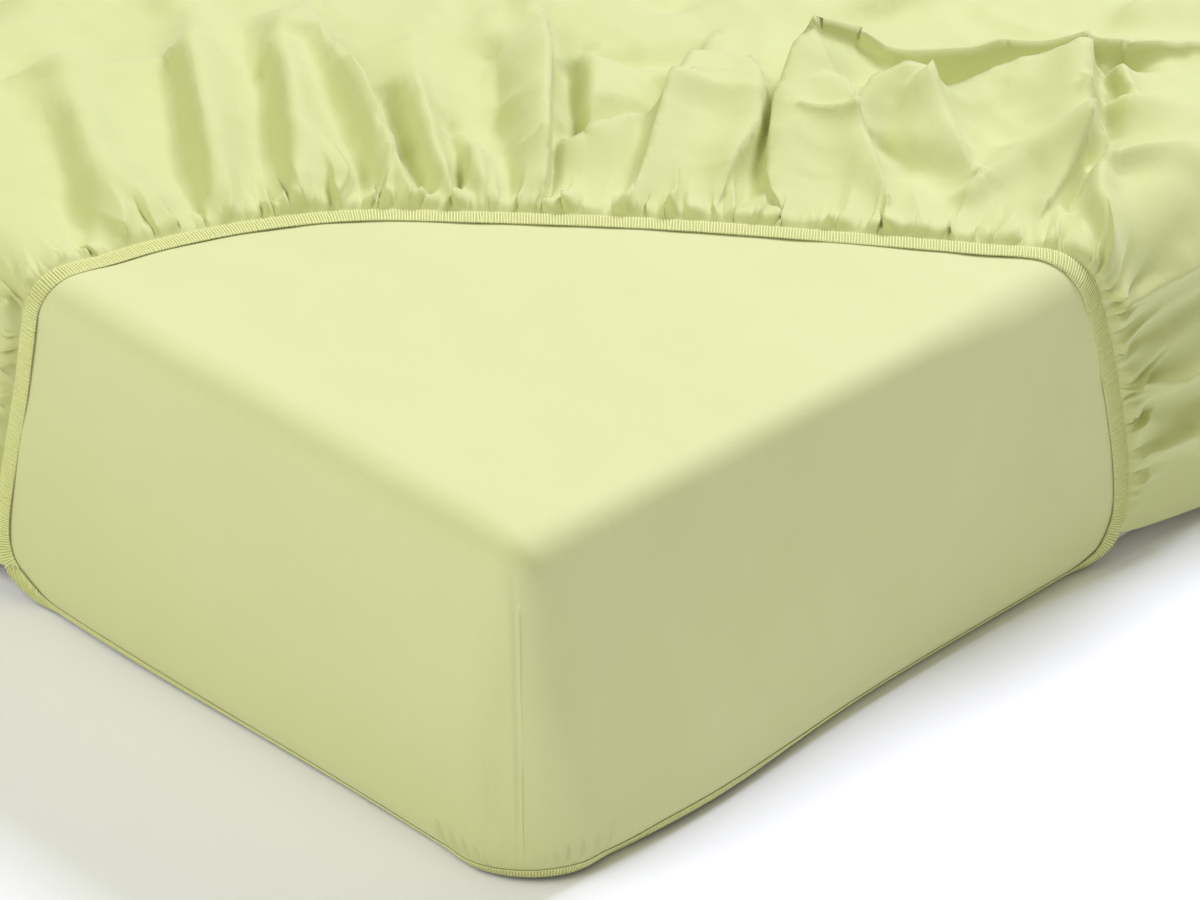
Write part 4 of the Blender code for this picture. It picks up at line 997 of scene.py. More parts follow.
# %% Corner seam and the smooth layer
SEAM_TURN = math.radians(44.6)
SEAM_FROM_Q = 0.078
SEAM_GROWS_OVER = 0.05
SEAM_DEEP = 0.0011
SEAM_HALF = 0.0010
SEAM_AT = -0.0010
SEAM_AT_RIM = 0.3
PULL_DEEP = 0.0006
PULL_PITCH = 0.021
PULL_AT = -0.006
PULL_HALF = 0.007
HOLLOW_DEEP = 0.0030
HOLLOW_AT = -0.013
HOLLOW_HALF = 0.013
SEAM_FADE = 0.04
CALM_OVER = 0.03
SLOW_WAVE = (0.0007, 0.16, 3)
SHORT_WAVE = (0.0004, 0.055, 4)
LOWEST_WAVE = -0.0006


def seam_distance(x, y):
    """Signed distance in space from the corner seam, above zero towards the long side."""
    dx = np.maximum(-CORE_X - x, 0.0)
    dy = np.maximum(-CORE_Y - y, 0.0)
    q = np.hypot(dx, dy)
    turn = np.arctan2(dy, np.maximum(dx, TINY))
    radius = np.minimum(q, CORNER_R)
    away = np.where((dx > 0) | (dy > 0), (turn - SEAM_TURN) * radius, 1.0)
    return away, q


def swell(away, middle, half):
    """Round swelling of height 1 beside the seam."""
    return np.exp(-((away - middle) / half) ** 2)


def seam_relief(x, y):
    """Groove of the corner seam, the hollow beside it and the small pull of its stitches."""
    away, q = seam_distance(x, y)
    down = soft_step((q - SEAM_FROM_Q) / SEAM_GROWS_OVER)
    groove = -SEAM_DEEP * swell(away, SEAM_AT, SEAM_HALF)
    pull = PULL_DEEP * np.sin(q * 2 * math.pi / PULL_PITCH) * swell(away, PULL_AT, PULL_HALF)
    hollow = -HOLLOW_DEEP * swell(away, HOLLOW_AT, HOLLOW_HALF)
    off_rim = soft_step((FACE_END - q) / SEAM_FADE)
    return down * (groove * (SEAM_AT_RIM + (1 - SEAM_AT_RIM) * off_rim) + (pull + hollow) * off_rim)


def smooth_layer(plan):
    """Points in space of the smooth layer."""
    x, y = plan[:, 0], plan[:, 1]
    calm = soft_step(line_distance(x, y, closed_ring[::3]) / CALM_OVER)
    lift = sum(high * unevenness(x, y, wave, seed) for high, wave, seed in (SLOW_WAVE, SHORT_WAVE))
    lift = np.maximum(lift, LOWEST_WAVE)
    return wrap(x, y, smooth_height(x, y) + calm * lift + seam_relief(x, y))


smooth_points = smooth_layer(smooth_plan)
print(f"the seam starts {SEAM_FROM_Q:.3f} m out from the core and is {SEAM_DEEP * 1000:.1f} mm deep")

# %% [markdown]
# ## Join the cloth: the turned-back layer
#
# The sheet is one piece of cloth, so it is one open mesh: from the elastic back over the
# heap, round the bend, and forward again under the heap to the smooth corner. First come the
# rows of the gathered strip and the fill of the heap behind them.

# %% Join the strip and the heap
points = []
quads = []
plan_places = []


def add_rows(rows, plans):
    """Put rows of points in the mesh and return their first numbers."""
    firsts = []
    for row, plan in zip(rows, plans):
        firsts.append(sum(len(p) for p in points))
        points.append(row)
        plan_places.append(plan)
    return firsts


strip_first = add_rows(strip_points, [p for p, _ in strip_rows])
for a, b in zip(strip_first[:-1], strip_first[1:]):
    quads += [(a + i, a + i + 1, b + i + 1, b + i) for i in range(STRIP_COLUMNS)]
heap_first = add_rows([heap_points], [heap_plan])[0]
quads += [tuple(int(k) + heap_first for k in reversed(t)) for t in heap_triangles]
heap_edge = [heap_first + k for k in heap_rim]
heap_edge.append(heap_edge[0])
a = strip_first[-1]
quads += [(a + i, a + i + 1, heap_edge[i + 1], heap_edge[i]) for i in range(STRIP_COLUMNS)]
heap_back = heap_edge[STRIP_COLUMNS:][::-1]
print(f"turned-back layer: {len(quads)} faces")

# %% [markdown]
# ## Join the cloth: the bend and the smooth layer
#
# Cloth that is folded over makes a round bend, never a sharp edge. A few rows on a half circle give it,
# from the back of the heap down to the smooth layer. The faces up to here are counted, because the
# turned-back layer gets the cotton a shade deeper, which is painted shade.

# %% Join the bend and the smooth layer
BEND_STEPS = 6
bend_along = np.gradient(bend_marks, axis=0)
bend_along /= np.linalg.norm(bend_along, axis=1)[:, None]
bend_away = np.stack([bend_along[:, 1], -bend_along[:, 0]], axis=1)
bend_base = smooth_height(bend_marks[:, 0], bend_marks[:, 1])
bend_rows = []
for j in range(1, BEND_STEPS):
    turn = math.pi * j / BEND_STEPS
    out = bend_marks + bend_away * (bend_radius * math.sin(turn))[:, None]
    bend_rows.append(wrap(out[:, 0], out[:, 1], bend_base + bend_radius * (1 + math.cos(turn))))
bend_first = add_rows(bend_rows, [bend_marks] * len(bend_rows))
a = bend_first[0]
quads += [(heap_back[i], heap_back[i + 1], a + i + 1, a + i) for i in range(BACK_COLUMNS)]
for a, b in zip(bend_first[:-1], bend_first[1:]):
    quads += [(a + i, a + i + 1, b + i + 1, b + i) for i in range(BACK_COLUMNS)]

turned_quads = len(quads)
smooth_first = add_rows([smooth_points], [smooth_plan])[0]
quads += [tuple(int(k) + smooth_first for k in t) for t in triangles]
rim = [smooth_first + smooth_rim[(FOOT_MARKS + i) % len(smooth_ring)]
       for i in range(BACK_COLUMNS + 1)]
a = bend_first[-1]
quads += [(a + i, a + i + 1, rim[i + 1], rim[i]) for i in range(BACK_COLUMNS)]
print(f"whole sheet: {len(quads)} faces, {turned_quads} of them turned back")

# %% [markdown]
# ## Make the sheet
#
# The points and faces become one mesh. Its texture coordinates are the plan in metres, as if
# the weave had been printed before the cloth was folded. Points that fall together, as they
# do where the strip runs out, are welded, and slivers are dissolved.

# %% Make the sheet
WELD = 0.00012
SLIVER = 0.00004


def make_piece(name, verts, faces, plan=None, turned=0):
    """One smooth mesh object, its plan as texture coordinates in metres, where it has one."""
    mesh = bpy.data.meshes.new(name)
    mesh.from_pydata([tuple(v) for v in verts], [], faces)
    # faces of the turned-back layer take the second material, the cotton painted a shade deeper as painted
    # shade
    mesh.polygons.foreach_set("material_index", (np.arange(len(faces)) < turned).astype(np.int32))
    if plan is not None:
        layer = mesh.uv_layers.new(name="plan")
        corners = np.zeros(len(mesh.loops), dtype=np.int32)
        mesh.loops.foreach_get("vertex_index", corners)
        layer.data.foreach_set("uv", plan[corners].astype(np.float32).ravel())
    work = bmesh.new()
    work.from_mesh(mesh)
    bmesh.ops.remove_doubles(work, verts=work.verts, dist=WELD)
    bmesh.ops.dissolve_degenerate(work, dist=SLIVER, edges=work.edges)
    loose = [v for v in work.verts if not v.link_faces]
    bmesh.ops.delete(work, geom=loose, context="VERTS")
    work.to_mesh(mesh)
    work.free()
    mesh.shade_smooth()
    obj = bpy.data.objects.new(name, mesh)
    bpy.context.scene.collection.objects.link(obj)
    return obj


sheet = make_piece("sheet_cloth", np.vstack(points), quads, np.vstack(plan_places), turned_quads)
sheet.data.calc_loop_triangles()
sheet_area = sum(t.area for t in sheet.data.loop_triangles)
print(f"sheet: {len(sheet.data.loop_triangles)} triangles, {sheet_area:.2f} m2 of cloth")

# %% [markdown]
# ## The elastic edge
#
# The real edge is elastic about 15 mm wide with the cotton overlocked onto it. It is modelled
# as a flat tape that follows the whole loop, slightly padded, with edges that the stitches
# draw in. Under the mattress it lies flatter and narrower, so that little of it shows. The
# stitches are threads of their own, one across the tape every 2.3 mm.

# %% Tape
TAPE_W = 0.0145
TAPE_T = 0.0010
TAPE_GAP = 0.0005
STITCH_PITCH = 0.0023
TURN_FROM = 0.002
TURN_OVER = 0.004
FOOT_REACH = 0.052
FOOT_OVER = 0.026
FOOT_LIFT = 0.0010
FOOT_DIP = 0.0016
TUCKED_WIDTH = 0.50
TUCKED_FLAT = 0.45
FRONT_DIP = 0.0008
loop_length = space_out(edge_loop, 1, closed=True)[1]
stitch_count = int(round(loop_length / STITCH_PITCH))
FEET = (HEM_POINTS[0], HEM_POINTS[-1])


def tape_marks(count):
    """Evenly spaced places along the whole edge, its direction and the way across it."""
    places, _ = space_out(edge_loop, count, closed=True)
    along = np.roll(places, -1, axis=0) - np.roll(places, 1, axis=0)
    along /= np.linalg.norm(along, axis=1)[:, None]
    outward = np.stack([along[:, 1], -along[:, 0]], axis=1)
    return places, along, outward


def tape_point(places, outward, w, up):
    """Point of the tape, w across it and up above its underside."""
    q = core_offset(places[:, 0], places[:, 1])[4]
    turned = soft_step((q - FACE_END - TURN_FROM) / TURN_OVER)
    near_foot = np.zeros(len(places))
    for fx, fy in FEET:
        away = np.hypot(places[:, 0] - fx, places[:, 1] - fy)
        near_foot = np.maximum(near_foot, soft_step((FOOT_REACH - away) / FOOT_OVER))
    tucked = turned * (1 - near_foot)
    share = w / (TAPE_W / 2)
    w = w * (1 - (1 - TUCKED_WIDTH) * tucked) + (1 - TUCKED_WIDTH) * TAPE_W / 2 * tucked
    edge = places + outward * w[:, None]
    under = smooth_height(edge[:, 0], edge[:, 1]) + TAPE_GAP
    front = np.maximum(-share, 0.0)
    over = under + HEM_LIFT - FRONT_DIP * front * (1 - near_foot)
    over += (FOOT_LIFT - FOOT_DIP * front) * near_foot
    low = over * (1 - tucked) + under * tucked
    return wrap(edge[:, 0], edge[:, 1], low + up * (1 - TUCKED_FLAT * tucked))


print(f"tape: {loop_length:.3f} m long, {stitch_count} stitches")

# %% [markdown]
# ## Mesh of the tape
#
# The tape is one closed ring of quads: its cross section, carried along the whole edge.
# Every second section is drawn in and down a little, as a thread does that crosses it. A
# curve with a bevel would be quicker, but it couldn't follow the cloth and narrow underneath.

# %% Mesh of the tape
WOBBLE = 0.00028
WOBBLE_WAVE = 0.03
DRAWN_IN = 0.00022
DRAWN_DOWN = 0.00018
TAPE_PROFILE = [
    # share of the half width, height as a share of the thickness
    (-1.00, 0.30), (-0.97, 0.80), (-0.80, 1.00), (-0.35, 0.96), (0.10, 1.00),
    (0.55, 0.96), (0.85, 1.00), (0.98, 0.75), (1.00, 0.25), (0.90, 0.00), (-0.90, 0.00),
]
tape_columns = stitch_count * 2
places, _, outward = tape_marks(tape_columns)
wobble = WOBBLE * unevenness(places[:, 0], places[:, 1], WOBBLE_WAVE, 41)
stitched = np.arange(tape_columns) % 2
tape_rings = []
for share, height in TAPE_PROFILE:
    w = share * TAPE_W / 2 + wobble - np.sign(share) * DRAWN_IN * stitched
    up = height * TAPE_T - DRAWN_DOWN * stitched * (height > 0.5)
    tape_rings.append(tape_point(places, outward, w, up))
tape_verts = np.stack(tape_rings, axis=1).reshape(-1, 3)
tape_faces = []
ring = len(TAPE_PROFILE)
for i in range(tape_columns):
    a = i * ring
    b = ((i + 1) % tape_columns) * ring
    tape_faces += [(a + k, a + (k + 1) % ring, b + (k + 1) % ring, b + k) for k in range(ring)]
tape = make_piece("elastic_tape", tape_verts, tape_faces)
print(f"tape: {len(tape_faces)} faces")

# %% [markdown]
# ## Overlock stitches
#
# An overlock machine lays its threads across the edge, side by side and a little on the
# slant, and locks them with a looped thread along each rim. From the distance of the picture
# a pair that crosses the tape reads as one thick thread, so one is made for each pitch. They
# are real round threads, so that they catch the light in any view.

# %% Threads across the tape
THREAD_SIDES = 6
STEEP = 0.8
STITCH_R = 0.00060
STITCH_SLANT = 0.0007
STITCH_SUNK = 0.35
STITCH_JITTER = 0.00014
SLANT_JITTER = 0.00016


def threads(name, paths, radius):
    """Thin round threads along many paths of the same number of points."""
    paths = np.asarray(paths)
    count, steps = paths.shape[:2]
    way = np.gradient(paths, axis=1)
    way /= np.linalg.norm(way, axis=2)[..., None]
    helper = np.where(np.abs(way[..., 2:3]) < STEEP, (0.0, 0.0, 1.0), (1.0, 0.0, 0.0))
    side = np.cross(way, helper)
    side /= np.linalg.norm(side, axis=2)[..., None]
    top = np.cross(side, way)
    rings = []
    for k in range(THREAD_SIDES):
        turn = 2 * math.pi * (k + 0.5) / THREAD_SIDES
        rings.append(paths + radius * (math.cos(turn) * side + math.sin(turn) * top))
    verts = np.stack(rings, axis=2).reshape(-1, 3)
    faces = []
    for t in range(count):
        for j in range(steps - 1):
            a = (t * steps + j) * THREAD_SIDES
            b = a + THREAD_SIDES
            faces += [(a + k, a + (k + 1) % THREAD_SIDES, b + (k + 1) % THREAD_SIDES, b + k)
                      for k in range(THREAD_SIDES)]
    mesh = bpy.data.meshes.new(name)
    mesh.from_pydata([tuple(v) for v in verts], [], faces)
    mesh.shade_smooth()
    obj = bpy.data.objects.new(name, mesh)
    bpy.context.scene.collection.objects.link(obj)
    return obj


STITCH_PATH = [
    # share of the half width, height above the tape
    (-1.05, -0.0012), (-1.00, -0.0002), (-0.55, 0.00025), (0.0, 0.00022), (0.55, 0.00025),
    (0.98, 0.0001), (1.04, -0.0008),
]
places, along, outward = tape_marks(stitch_count)
rng = np.random.default_rng(7)
jitter = rng.normal(0.0, STITCH_JITTER, stitch_count)
slant = STITCH_SLANT + rng.normal(0.0, SLANT_JITTER, stitch_count)
crossing_rows = []
for share, height in STITCH_PATH:
    w = np.full(stitch_count, share * TAPE_W / 2)
    up = TAPE_T + height - STITCH_R * STITCH_SUNK
    at = places + along * (jitter + slant * share)[:, None]
    crossing_rows.append(tape_point(at, outward, w, up))
crossing = threads("overlock_stitches", np.stack(crossing_rows, axis=1), STITCH_R)
print(f"{stitch_count} threads across the tape")

# %% [markdown]
# ## Looped threads along the rims
#
# The looper thread of an overlock runs in small loops round the very edge. Here it is one
# long thread on each rim that swings out and in, and up and down, once for every stitch.

# %% Rim threads
THREAD_R = 0.00030
RIM_STEPS = 4
RIM_OUT = 0.0002
RIM_LOOP = 0.00035
RIM_HIGH = 0.55
RIM_WAVE = 0.0003
rim_marks = stitch_count * RIM_STEPS
places, _, outward = tape_marks(rim_marks)
rim_paths = []
phase = np.arange(rim_marks) * 2 * math.pi / RIM_STEPS
for side in (-1.0, 1.0):
    w = side * (TAPE_W / 2 + RIM_OUT + RIM_LOOP * np.sin(phase))
    up = RIM_HIGH * TAPE_T + RIM_WAVE * np.cos(phase)
    line = tape_point(places, outward, w, up)
    rim_paths.append(np.vstack([line, line[:1]]))
rim_threads = threads("overlock_rim", np.stack(rim_paths), THREAD_R)
print(f"{len(rim_paths)} threads along the rims, {rim_marks} points each")

# %% [markdown]
# ## Topstitching of the corner seam
#
# The corner is sewn with small stitches beside the seam. A drawn dashed line would look flat
# from the side, so they are short threads that dip into the cloth at both ends.

# %% Seam stitches
TOPSTITCH_PITCH = 0.0034
TOPSTITCH_AWAY = 0.0018
TOPSTITCH_START = 0.012
TOPSTITCH_END = 0.008
TOPSTITCH_PATH = [
    # share of the pitch, height above the cloth
    (-0.36, -0.0004), (-0.26, 0.0001), (0.0, 0.00028), (0.26, 0.0001), (0.36, -0.0004),
]
seam_q = np.arange(SEAM_FROM_Q + TOPSTITCH_START, FACE_END + TOPSTITCH_END, TOPSTITCH_PITCH)
seam_paths = []
for q in seam_q:
    path = []
    for share, up in TOPSTITCH_PATH:
        at = q + share * TOPSTITCH_PITCH
        turn = SEAM_TURN + TOPSTITCH_AWAY / min(at, CORNER_R)
        x = np.array([-CORE_X - at * math.cos(turn)])
        y = np.array([-CORE_Y - at * math.sin(turn)])
        path.append(wrap(x, y, smooth_height(x, y) + seam_relief(x, y) + up)[0])
    seam_paths.append(path)
seam_threads = threads("seam_stitches", np.array(seam_paths), THREAD_R)
print(f"{len(seam_q)} stitches beside the corner seam")

# %% [markdown]
# ## The mattress
#
# The far end of the mattress is bare in this reading, and out of the picture. It is built as
# a plain block with rolled edges and corners, a stack of rounded outlines joined by rings of
# faces, which gives the same rounding as the plan that the cloth was draped on.

# %% Mattress
MATTRESS_TURN_STEPS = 14
MATTRESS_ROWS = 24
MATTRESS_STEP = 0.02
TOP_RINGS = (0.04, 0.025, 0.01)
CORNER_STARTS = [
    # (x, y) of each corner's centre, and the degrees at which its arc starts
    (CORE_X, CORE_Y, 0), (-CORE_X, CORE_Y, 90), (-CORE_X, -CORE_Y, 180), (CORE_X, -CORE_Y, 270),
]


def mattress_outline(out):
    """Rounded outline of the mattress, some way out from the core."""
    pts = []
    for k, (cx, cy, start) in enumerate(CORNER_STARTS):
        for i in range(MATTRESS_TURN_STEPS + 1):
            turn = math.radians(start + 90 * i / MATTRESS_TURN_STEPS)
            pts.append((cx + out * math.cos(turn), cy + out * math.sin(turn)))
        nx, ny, next_start = CORNER_STARTS[(k + 1) % len(CORNER_STARTS)]
        turn = math.radians(next_start)
        ax, ay = pts[-1]
        bx, by = nx + out * math.cos(turn), ny + out * math.sin(turn)
        count = int((2 * CORE_X if k % 2 == 0 else 2 * CORE_Y) / MATTRESS_STEP)
        pts += [(ax + (bx - ax) * i / count, ay + (by - ay) * i / count) for i in range(1, count)]
    return pts


levels = []
for i in range(MATTRESS_TURN_STEPS + 1):
    turn = math.pi / 2 * i / MATTRESS_TURN_STEPS
    levels.append((LIP + EDGE_R * math.sin(turn), EDGE_R - EDGE_R * math.cos(turn)))
for i in range(1, MATTRESS_ROWS):
    levels.append((CORNER_R, EDGE_R + (HEIGHT - 2 * EDGE_R) * i / MATTRESS_ROWS))
for i in range(MATTRESS_TURN_STEPS + 1):
    turn = math.pi / 2 * i / MATTRESS_TURN_STEPS
    levels.append((LIP + EDGE_R * math.cos(turn), HEIGHT - EDGE_R + EDGE_R * math.sin(turn)))
levels += [(inner, HEIGHT) for inner in TOP_RINGS]
mattress_verts = [(x, y, z) for out, z in levels for x, y in mattress_outline(out)]
outline_size = len(mattress_verts) // len(levels)
mattress_faces = [tuple(reversed(range(outline_size)))]
for level in range(len(levels) - 1):
    a = level * outline_size
    b = a + outline_size
    mattress_faces += [(a + i, a + (i + 1) % outline_size, b + (i + 1) % outline_size, b + i)
                       for i in range(outline_size)]
mattress_faces.append(tuple(range((len(levels) - 1) * outline_size, len(levels) * outline_size)))
mattress = make_piece("mattress_body", mattress_verts, mattress_faces)
print(f"mattress: {len(mattress_faces)} faces")

# %% [markdown]
# ## A short way to write materials
#
# Every finish here is one Principled shader with a few patterns in front of it. These helpers
# add a node, join two sockets, spread a pattern over a range of roughness and turn a pattern
# into colours, so that each material below reads as a recipe.

# %% Material helpers
def new_material(name):
    """A material with its shader, and a short way to add and join nodes."""
    mat = bpy.data.materials.new(name)
    mat.use_nodes = True
    tree = mat.node_tree
    shader = tree.nodes["Principled BSDF"]

    def node(kind, **values):
        made = tree.nodes.new(kind)
        for key, value in values.items():
            if hasattr(made, key):
                setattr(made, key, value)
            else:
                made.inputs[key].default_value = value
        return made

    def join(out, socket):
        tree.links.new(out, socket)

    return mat, shader, node, join


def roughness(node, join, shader, source, smooth, rough):
    """Roughness that varies with a pattern between two values."""
    spread = node("ShaderNodeMapRange")
    spread.inputs["To Min"].default_value = smooth
    spread.inputs["To Max"].default_value = rough
    join(source, spread.inputs["Value"])
    join(spread.outputs["Result"], shader.inputs["Roughness"])


def colour_ramp(node, join, source, stops):
    """A colour ramp from a list of places and colours."""
    ramp = node("ShaderNodeValToRGB")
    while len(ramp.color_ramp.elements) < len(stops):
        ramp.color_ramp.elements.new(0.5)
    for element, (place, colour) in zip(ramp.color_ramp.elements, stops):
        element.position = place
        element.color = (*colour, 1.0)
    join(source, ramp.inputs["Fac"])
    return ramp.outputs["Color"]


# %% [markdown]
# ## Cotton
#
# The sheet is a smooth plain weave, matt with a soft sheen. Its texture coordinates are the plan in
# metres, so the weave runs along the cloth whatever its folds do. The threads are a very fine bump, a
# softer one gives the faint crumple of washed cotton, and slow noise gives the slight mottling of dye. The
# turned-back layer gets the same cloth painted a shade deeper, as painted shade on the heap. The wrong
# side, which the turned-back layer shows, is the same cloth a shade deeper, as the picture has it.

# %% Cotton
COTTON = (0.662, 0.678, 0.336)
# the cotton a shade deeper: painted shade on the turned-back heap
COTTON_PAINTED_SHADE = (0.611, 0.638, 0.284)
DYE_DARK = (0.965, 0.97, 0.93)
DYE_LIGHT = (1.02, 1.02, 1.06)
WEAVE = 0.00045


def cotton_material(name, colour, sheen):
    """Plain-weave cotton."""
    mat, shader, node, join = new_material(name)
    place = node("ShaderNodeTexCoord")
    spot = node("ShaderNodeTexNoise", Scale=5.0, Detail=3.0)
    join(place.outputs["Object"], spot.inputs["Vector"])
    fleck = node("ShaderNodeTexNoise", Scale=420.0, Detail=2.0)
    join(place.outputs["UV"], fleck.inputs["Vector"])
    mix = node("ShaderNodeMath", operation="MULTIPLY_ADD")
    half = node("ShaderNodeMath", operation="MULTIPLY")
    join(fleck.outputs["Fac"], mix.inputs[0])
    join(spot.outputs["Fac"], half.inputs[0])
    join(half.outputs[0], mix.inputs[2])
    mix.inputs[1].default_value = 0.5
    half.inputs[1].default_value = 0.5
    dark = tuple(c * k for c, k in zip(colour, DYE_DARK))
    light = tuple(min(c * k, 1.0) for c, k in zip(colour, DYE_LIGHT))
    dyed = colour_ramp(node, join, mix.outputs[0], [(0.30, dark), (0.52, colour), (0.74, light)])
    join(dyed, shader.inputs["Base Color"])
    cross = node("ShaderNodeMath", operation="MAXIMUM")
    for k, way in enumerate("XY"):
        yarn = node("ShaderNodeTexWave", wave_type="BANDS", bands_direction=way,
                    Scale=0.5 / WEAVE / math.pi, Distortion=0.6, Detail=1.0)
        join(place.outputs["UV"], yarn.inputs["Vector"])
        join(yarn.outputs["Fac"], cross.inputs[k])
    crumple = node("ShaderNodeTexNoise", Scale=38.0, Detail=4.0, Roughness=0.6)
    join(place.outputs["UV"], crumple.inputs["Vector"])
    soft = node("ShaderNodeBump", Strength=0.30, Distance=0.0016)
    join(crumple.outputs["Fac"], soft.inputs["Height"])
    fine = node("ShaderNodeBump", Strength=0.25, Distance=0.00010)
    join(cross.outputs[0], fine.inputs["Height"])
    join(soft.outputs["Normal"], fine.inputs["Normal"])
    join(fine.outputs["Normal"], shader.inputs["Normal"])
    roughness(node, join, shader, fleck.outputs["Fac"], 0.66, 0.82)
    shader.inputs["Sheen Weight"].default_value = sheen
    shader.inputs["Sheen Roughness"].default_value = 0.35
    shader.inputs["Sheen Tint"].default_value = (1.0, 1.0, 0.90, 1.0)
    shader.inputs["Specular IOR Level"].default_value = 0.4
    return mat


cotton = cotton_material("cotton_percale", COTTON, 0.35)
# the turned-back layer's cotton, a shade deeper: painted shade
cotton_painted_shade = cotton_material("cotton_turned_back_painted_shade", COTTON_PAINTED_SHADE, 0.30)

# %% [markdown]
# ## Elastic, thread and ticking
#
# The elastic is dyed to match, and painted a shade deeper than the cotton for the shade its ribs lie in
# between the stitches: painted shade. The threads over it are painted lighter for the light they catch:
# painted highlight. Both are one small material with its own grain. The mattress cover is a plain
# off-white twill.

# %% Elastic, thread and ticking
# darker than the cotton: painted shade between the stitches
ELASTIC_PAINTED_SHADE = (0.540, 0.555, 0.215)
# lighter than the cotton: painted highlight on the threads
THREAD_PAINTED_HIGHLIGHT = (0.815, 0.830, 0.400)
TICKING_DARK = (0.58, 0.555, 0.485)
TICKING_LIGHT = (0.64, 0.615, 0.545)


def thread_material(name, colour, rib, strength):
    """Matt twisted thread or ribbed elastic."""
    mat, shader, node, join = new_material(name)
    place = node("ShaderNodeTexCoord")
    grain = node("ShaderNodeTexNoise", Scale=rib, Detail=3.0)
    join(place.outputs["Object"], grain.inputs["Vector"])
    dark = tuple(c * 0.90 for c in colour)
    light = tuple(min(c * 1.05, 1.0) for c in colour)
    dyed = colour_ramp(node, join, grain.outputs["Fac"], [(0.3, dark), (0.7, light)])
    join(dyed, shader.inputs["Base Color"])
    bump = node("ShaderNodeBump", Strength=strength, Distance=0.0002)
    join(grain.outputs["Fac"], bump.inputs["Height"])
    join(bump.outputs["Normal"], shader.inputs["Normal"])
    roughness(node, join, shader, grain.outputs["Fac"], 0.65, 0.85)
    shader.inputs["Sheen Weight"].default_value = 0.15
    shader.inputs["Specular IOR Level"].default_value = 0.3
    return mat


# the elastic, with painted shade, and the threads, with painted highlight
elastic = thread_material("elastic_ribbed_painted_shade", ELASTIC_PAINTED_SHADE, 900.0, 0.5)
thread = thread_material("overlock_thread_painted_highlight", THREAD_PAINTED_HIGHLIGHT, 2400.0, 0.4)


def ticking_material():
    """Off-white twill of the mattress cover."""
    mat, shader, node, join = new_material("mattress_ticking")
    place = node("ShaderNodeTexCoord")
    twill = node("ShaderNodeTexWave", wave_type="BANDS", bands_direction="DIAGONAL",
                 Scale=180.0, Distortion=0.8)
    join(place.outputs["Object"], twill.inputs["Vector"])
    cloud = node("ShaderNodeTexNoise", Scale=9.0, Detail=4.0)
    join(place.outputs["Object"], cloud.inputs["Vector"])
    stops = [(0.3, TICKING_DARK), (0.7, TICKING_LIGHT)]
    join(colour_ramp(node, join, cloud.outputs["Fac"], stops), shader.inputs["Base Color"])
    bump = node("ShaderNodeBump", Strength=0.3, Distance=0.0003)
    join(twill.outputs["Fac"], bump.inputs["Height"])
    join(bump.outputs["Normal"], shader.inputs["Normal"])
    roughness(node, join, shader, cloud.outputs["Fac"], 0.7, 0.9)
    shader.inputs["Sheen Weight"].default_value = 0.1
    return mat


ticking = ticking_material()
finishes = [
    (sheet, cotton), (sheet, cotton_painted_shade), (tape, elastic), (crossing, thread),
    (rim_threads, thread), (seam_threads, thread), (mattress, ticking),
]
for piece, finish in finishes:
    piece.data.materials.append(finish)
    print(piece.name, "in", finish.name)

# %% [markdown]
# ## Camera
#
# The camera stands where the photograph's camera stood, worked out from the corner and the
# edges of the mattress: 2.7 m from the corner, with a long lens, looking down at 31 degrees.
# A nearer camera with a shorter lens would show the same corner, but its edges would run
# together faster than they do in the picture.

# %% Camera
YAW = math.radians(44.216)
PITCH = math.radians(31.138)
FOCAL_PIXELS = 4003.1
IMAGE_WIDTH = 1200
SENSOR = 36.0
EYE = Vector((-2.5598, -2.1854, 1.7718))
forward = Vector((math.sin(YAW) * math.cos(PITCH), math.cos(YAW) * math.cos(PITCH), -math.sin(PITCH)))
right = Vector((math.cos(YAW), -math.sin(YAW), 0.0))
up_way = right.cross(forward)
camera_data = bpy.data.cameras.new("camera")
camera_data.sensor_width = SENSOR
camera_data.lens = SENSOR * FOCAL_PIXELS / IMAGE_WIDTH
camera_data.clip_end = 100.0
camera = bpy.data.objects.new("camera", camera_data)
camera.matrix_world = Matrix((
    (right.x, up_way.x, -forward.x, EYE.x),
    (right.y, up_way.y, -forward.y, EYE.y),
    (right.z, up_way.z, -forward.z, EYE.z),
    (0, 0, 0, 1),
))
bpy.context.scene.collection.objects.link(camera)
bpy.context.scene.camera = camera
print("camera", tuple(round(v, 3) for v in EYE), "lens", round(camera_data.lens, 1))

# %% [markdown]
# ## Floor and light
#
# The light is a soft studio. The main panel hangs above and behind on the right, so the top
# is brightest and the folds shade towards the camera. A weaker panel on the left lifts the
# short end, and a bright room fills the rest. The main light is a little cool and the room a
# little warm, which keeps the top pale and the shade yellow-green.

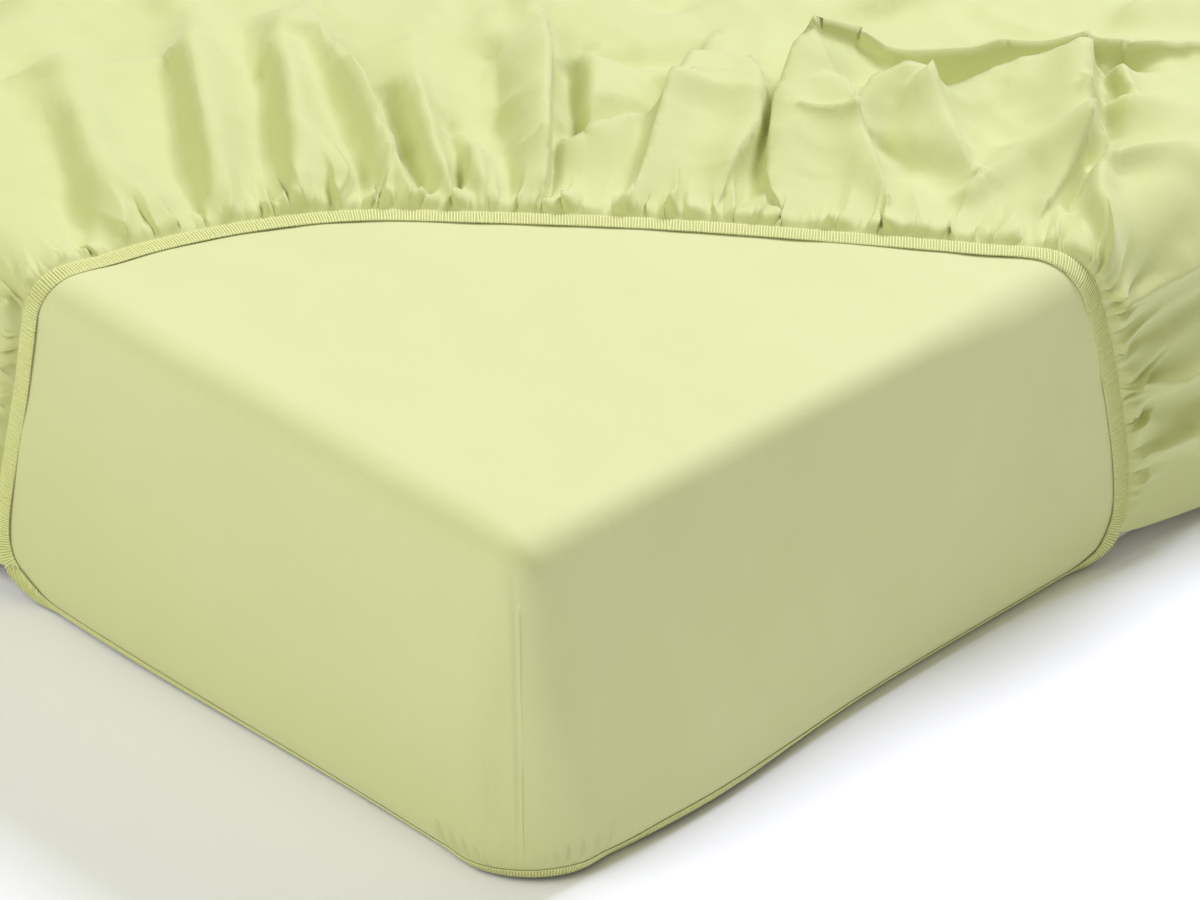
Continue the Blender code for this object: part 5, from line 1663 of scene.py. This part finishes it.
# %% Floor and lights
FLOOR_SIZE = 30.0
FLOOR_GAP = 0.0005
FLOOR_COLOUR = (0.93, 0.93, 0.98, 1.0)
corners = [(-FLOOR_SIZE, -FLOOR_SIZE, 0), (FLOOR_SIZE, -FLOOR_SIZE, 0),
           (FLOOR_SIZE, FLOOR_SIZE, 0), (-FLOOR_SIZE, FLOOR_SIZE, 0)]
floor = make_piece("floor", corners, [(0, 1, 2, 3)])
floor.location.z = -FLOOR_GAP
floor_paint = bpy.data.materials.new("floor_paint")
floor_paint.use_nodes = True
paint = floor_paint.node_tree.nodes["Principled BSDF"]
paint.inputs["Base Color"].default_value = FLOOR_COLOUR
paint.inputs["Roughness"].default_value = 0.9
floor.data.materials.append(floor_paint)


COOL = (0.99, 0.99, 1.27)
NEUTRAL = (1.0, 1.0, 1.0)
WARM_ROOM = (1.0, 1.0, 0.78, 1.0)
ROOM_STRENGTH = 0.41


def soft_panel(name, place, aim, size, power, colour):
    """A square soft light that faces a point."""
    data = bpy.data.lights.new(name, "AREA")
    data.shape = "SQUARE"
    data.size = size
    data.energy = power
    data.color = colour
    lamp = bpy.data.objects.new(name, data)
    lamp.location = place
    lamp.rotation_mode = "QUATERNION"
    lamp.rotation_quaternion = (Vector(aim) - Vector(place)).to_track_quat("-Z", "Y")
    bpy.context.scene.collection.objects.link(lamp)


soft_panel("panel_above", (2.9, -0.3, 4.6), (-0.6, -0.1, 0.3), 1.7, 247, COOL)
soft_panel("panel_left", (-3.2, 0.2, 2.6), (-0.9, -0.1, 0.2), 2.2, 53, NEUTRAL)
room = bpy.data.worlds.new("room")
room.use_nodes = True
room_light = room.node_tree.nodes["Background"]
room_light.inputs["Color"].default_value = WARM_ROOM
room_light.inputs["Strength"].default_value = ROOM_STRENGTH
bpy.context.scene.world = room
bpy.context.scene.view_settings.view_transform = "Standard"
print("floor, two panels and a room, strength", ROOM_STRENGTH)

# %% [markdown]
# ## Fasten the pieces to the frame
#
# Nothing moves in this model, so every piece rides on its one body. The cloth, the tape and
# the mattress each stand for their plain CAD solid, and the threads belong to the sheet. Cut
# flat, the sheet would be the mattress top with a skirt of 0.42 m on every side.

# %% Ride and replace
for piece in (sheet, tape, crossing, rim_threads, seam_threads, mattress):
    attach(piece, "root")
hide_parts("sheet")
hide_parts("elastic_edge")
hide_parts("mattress")
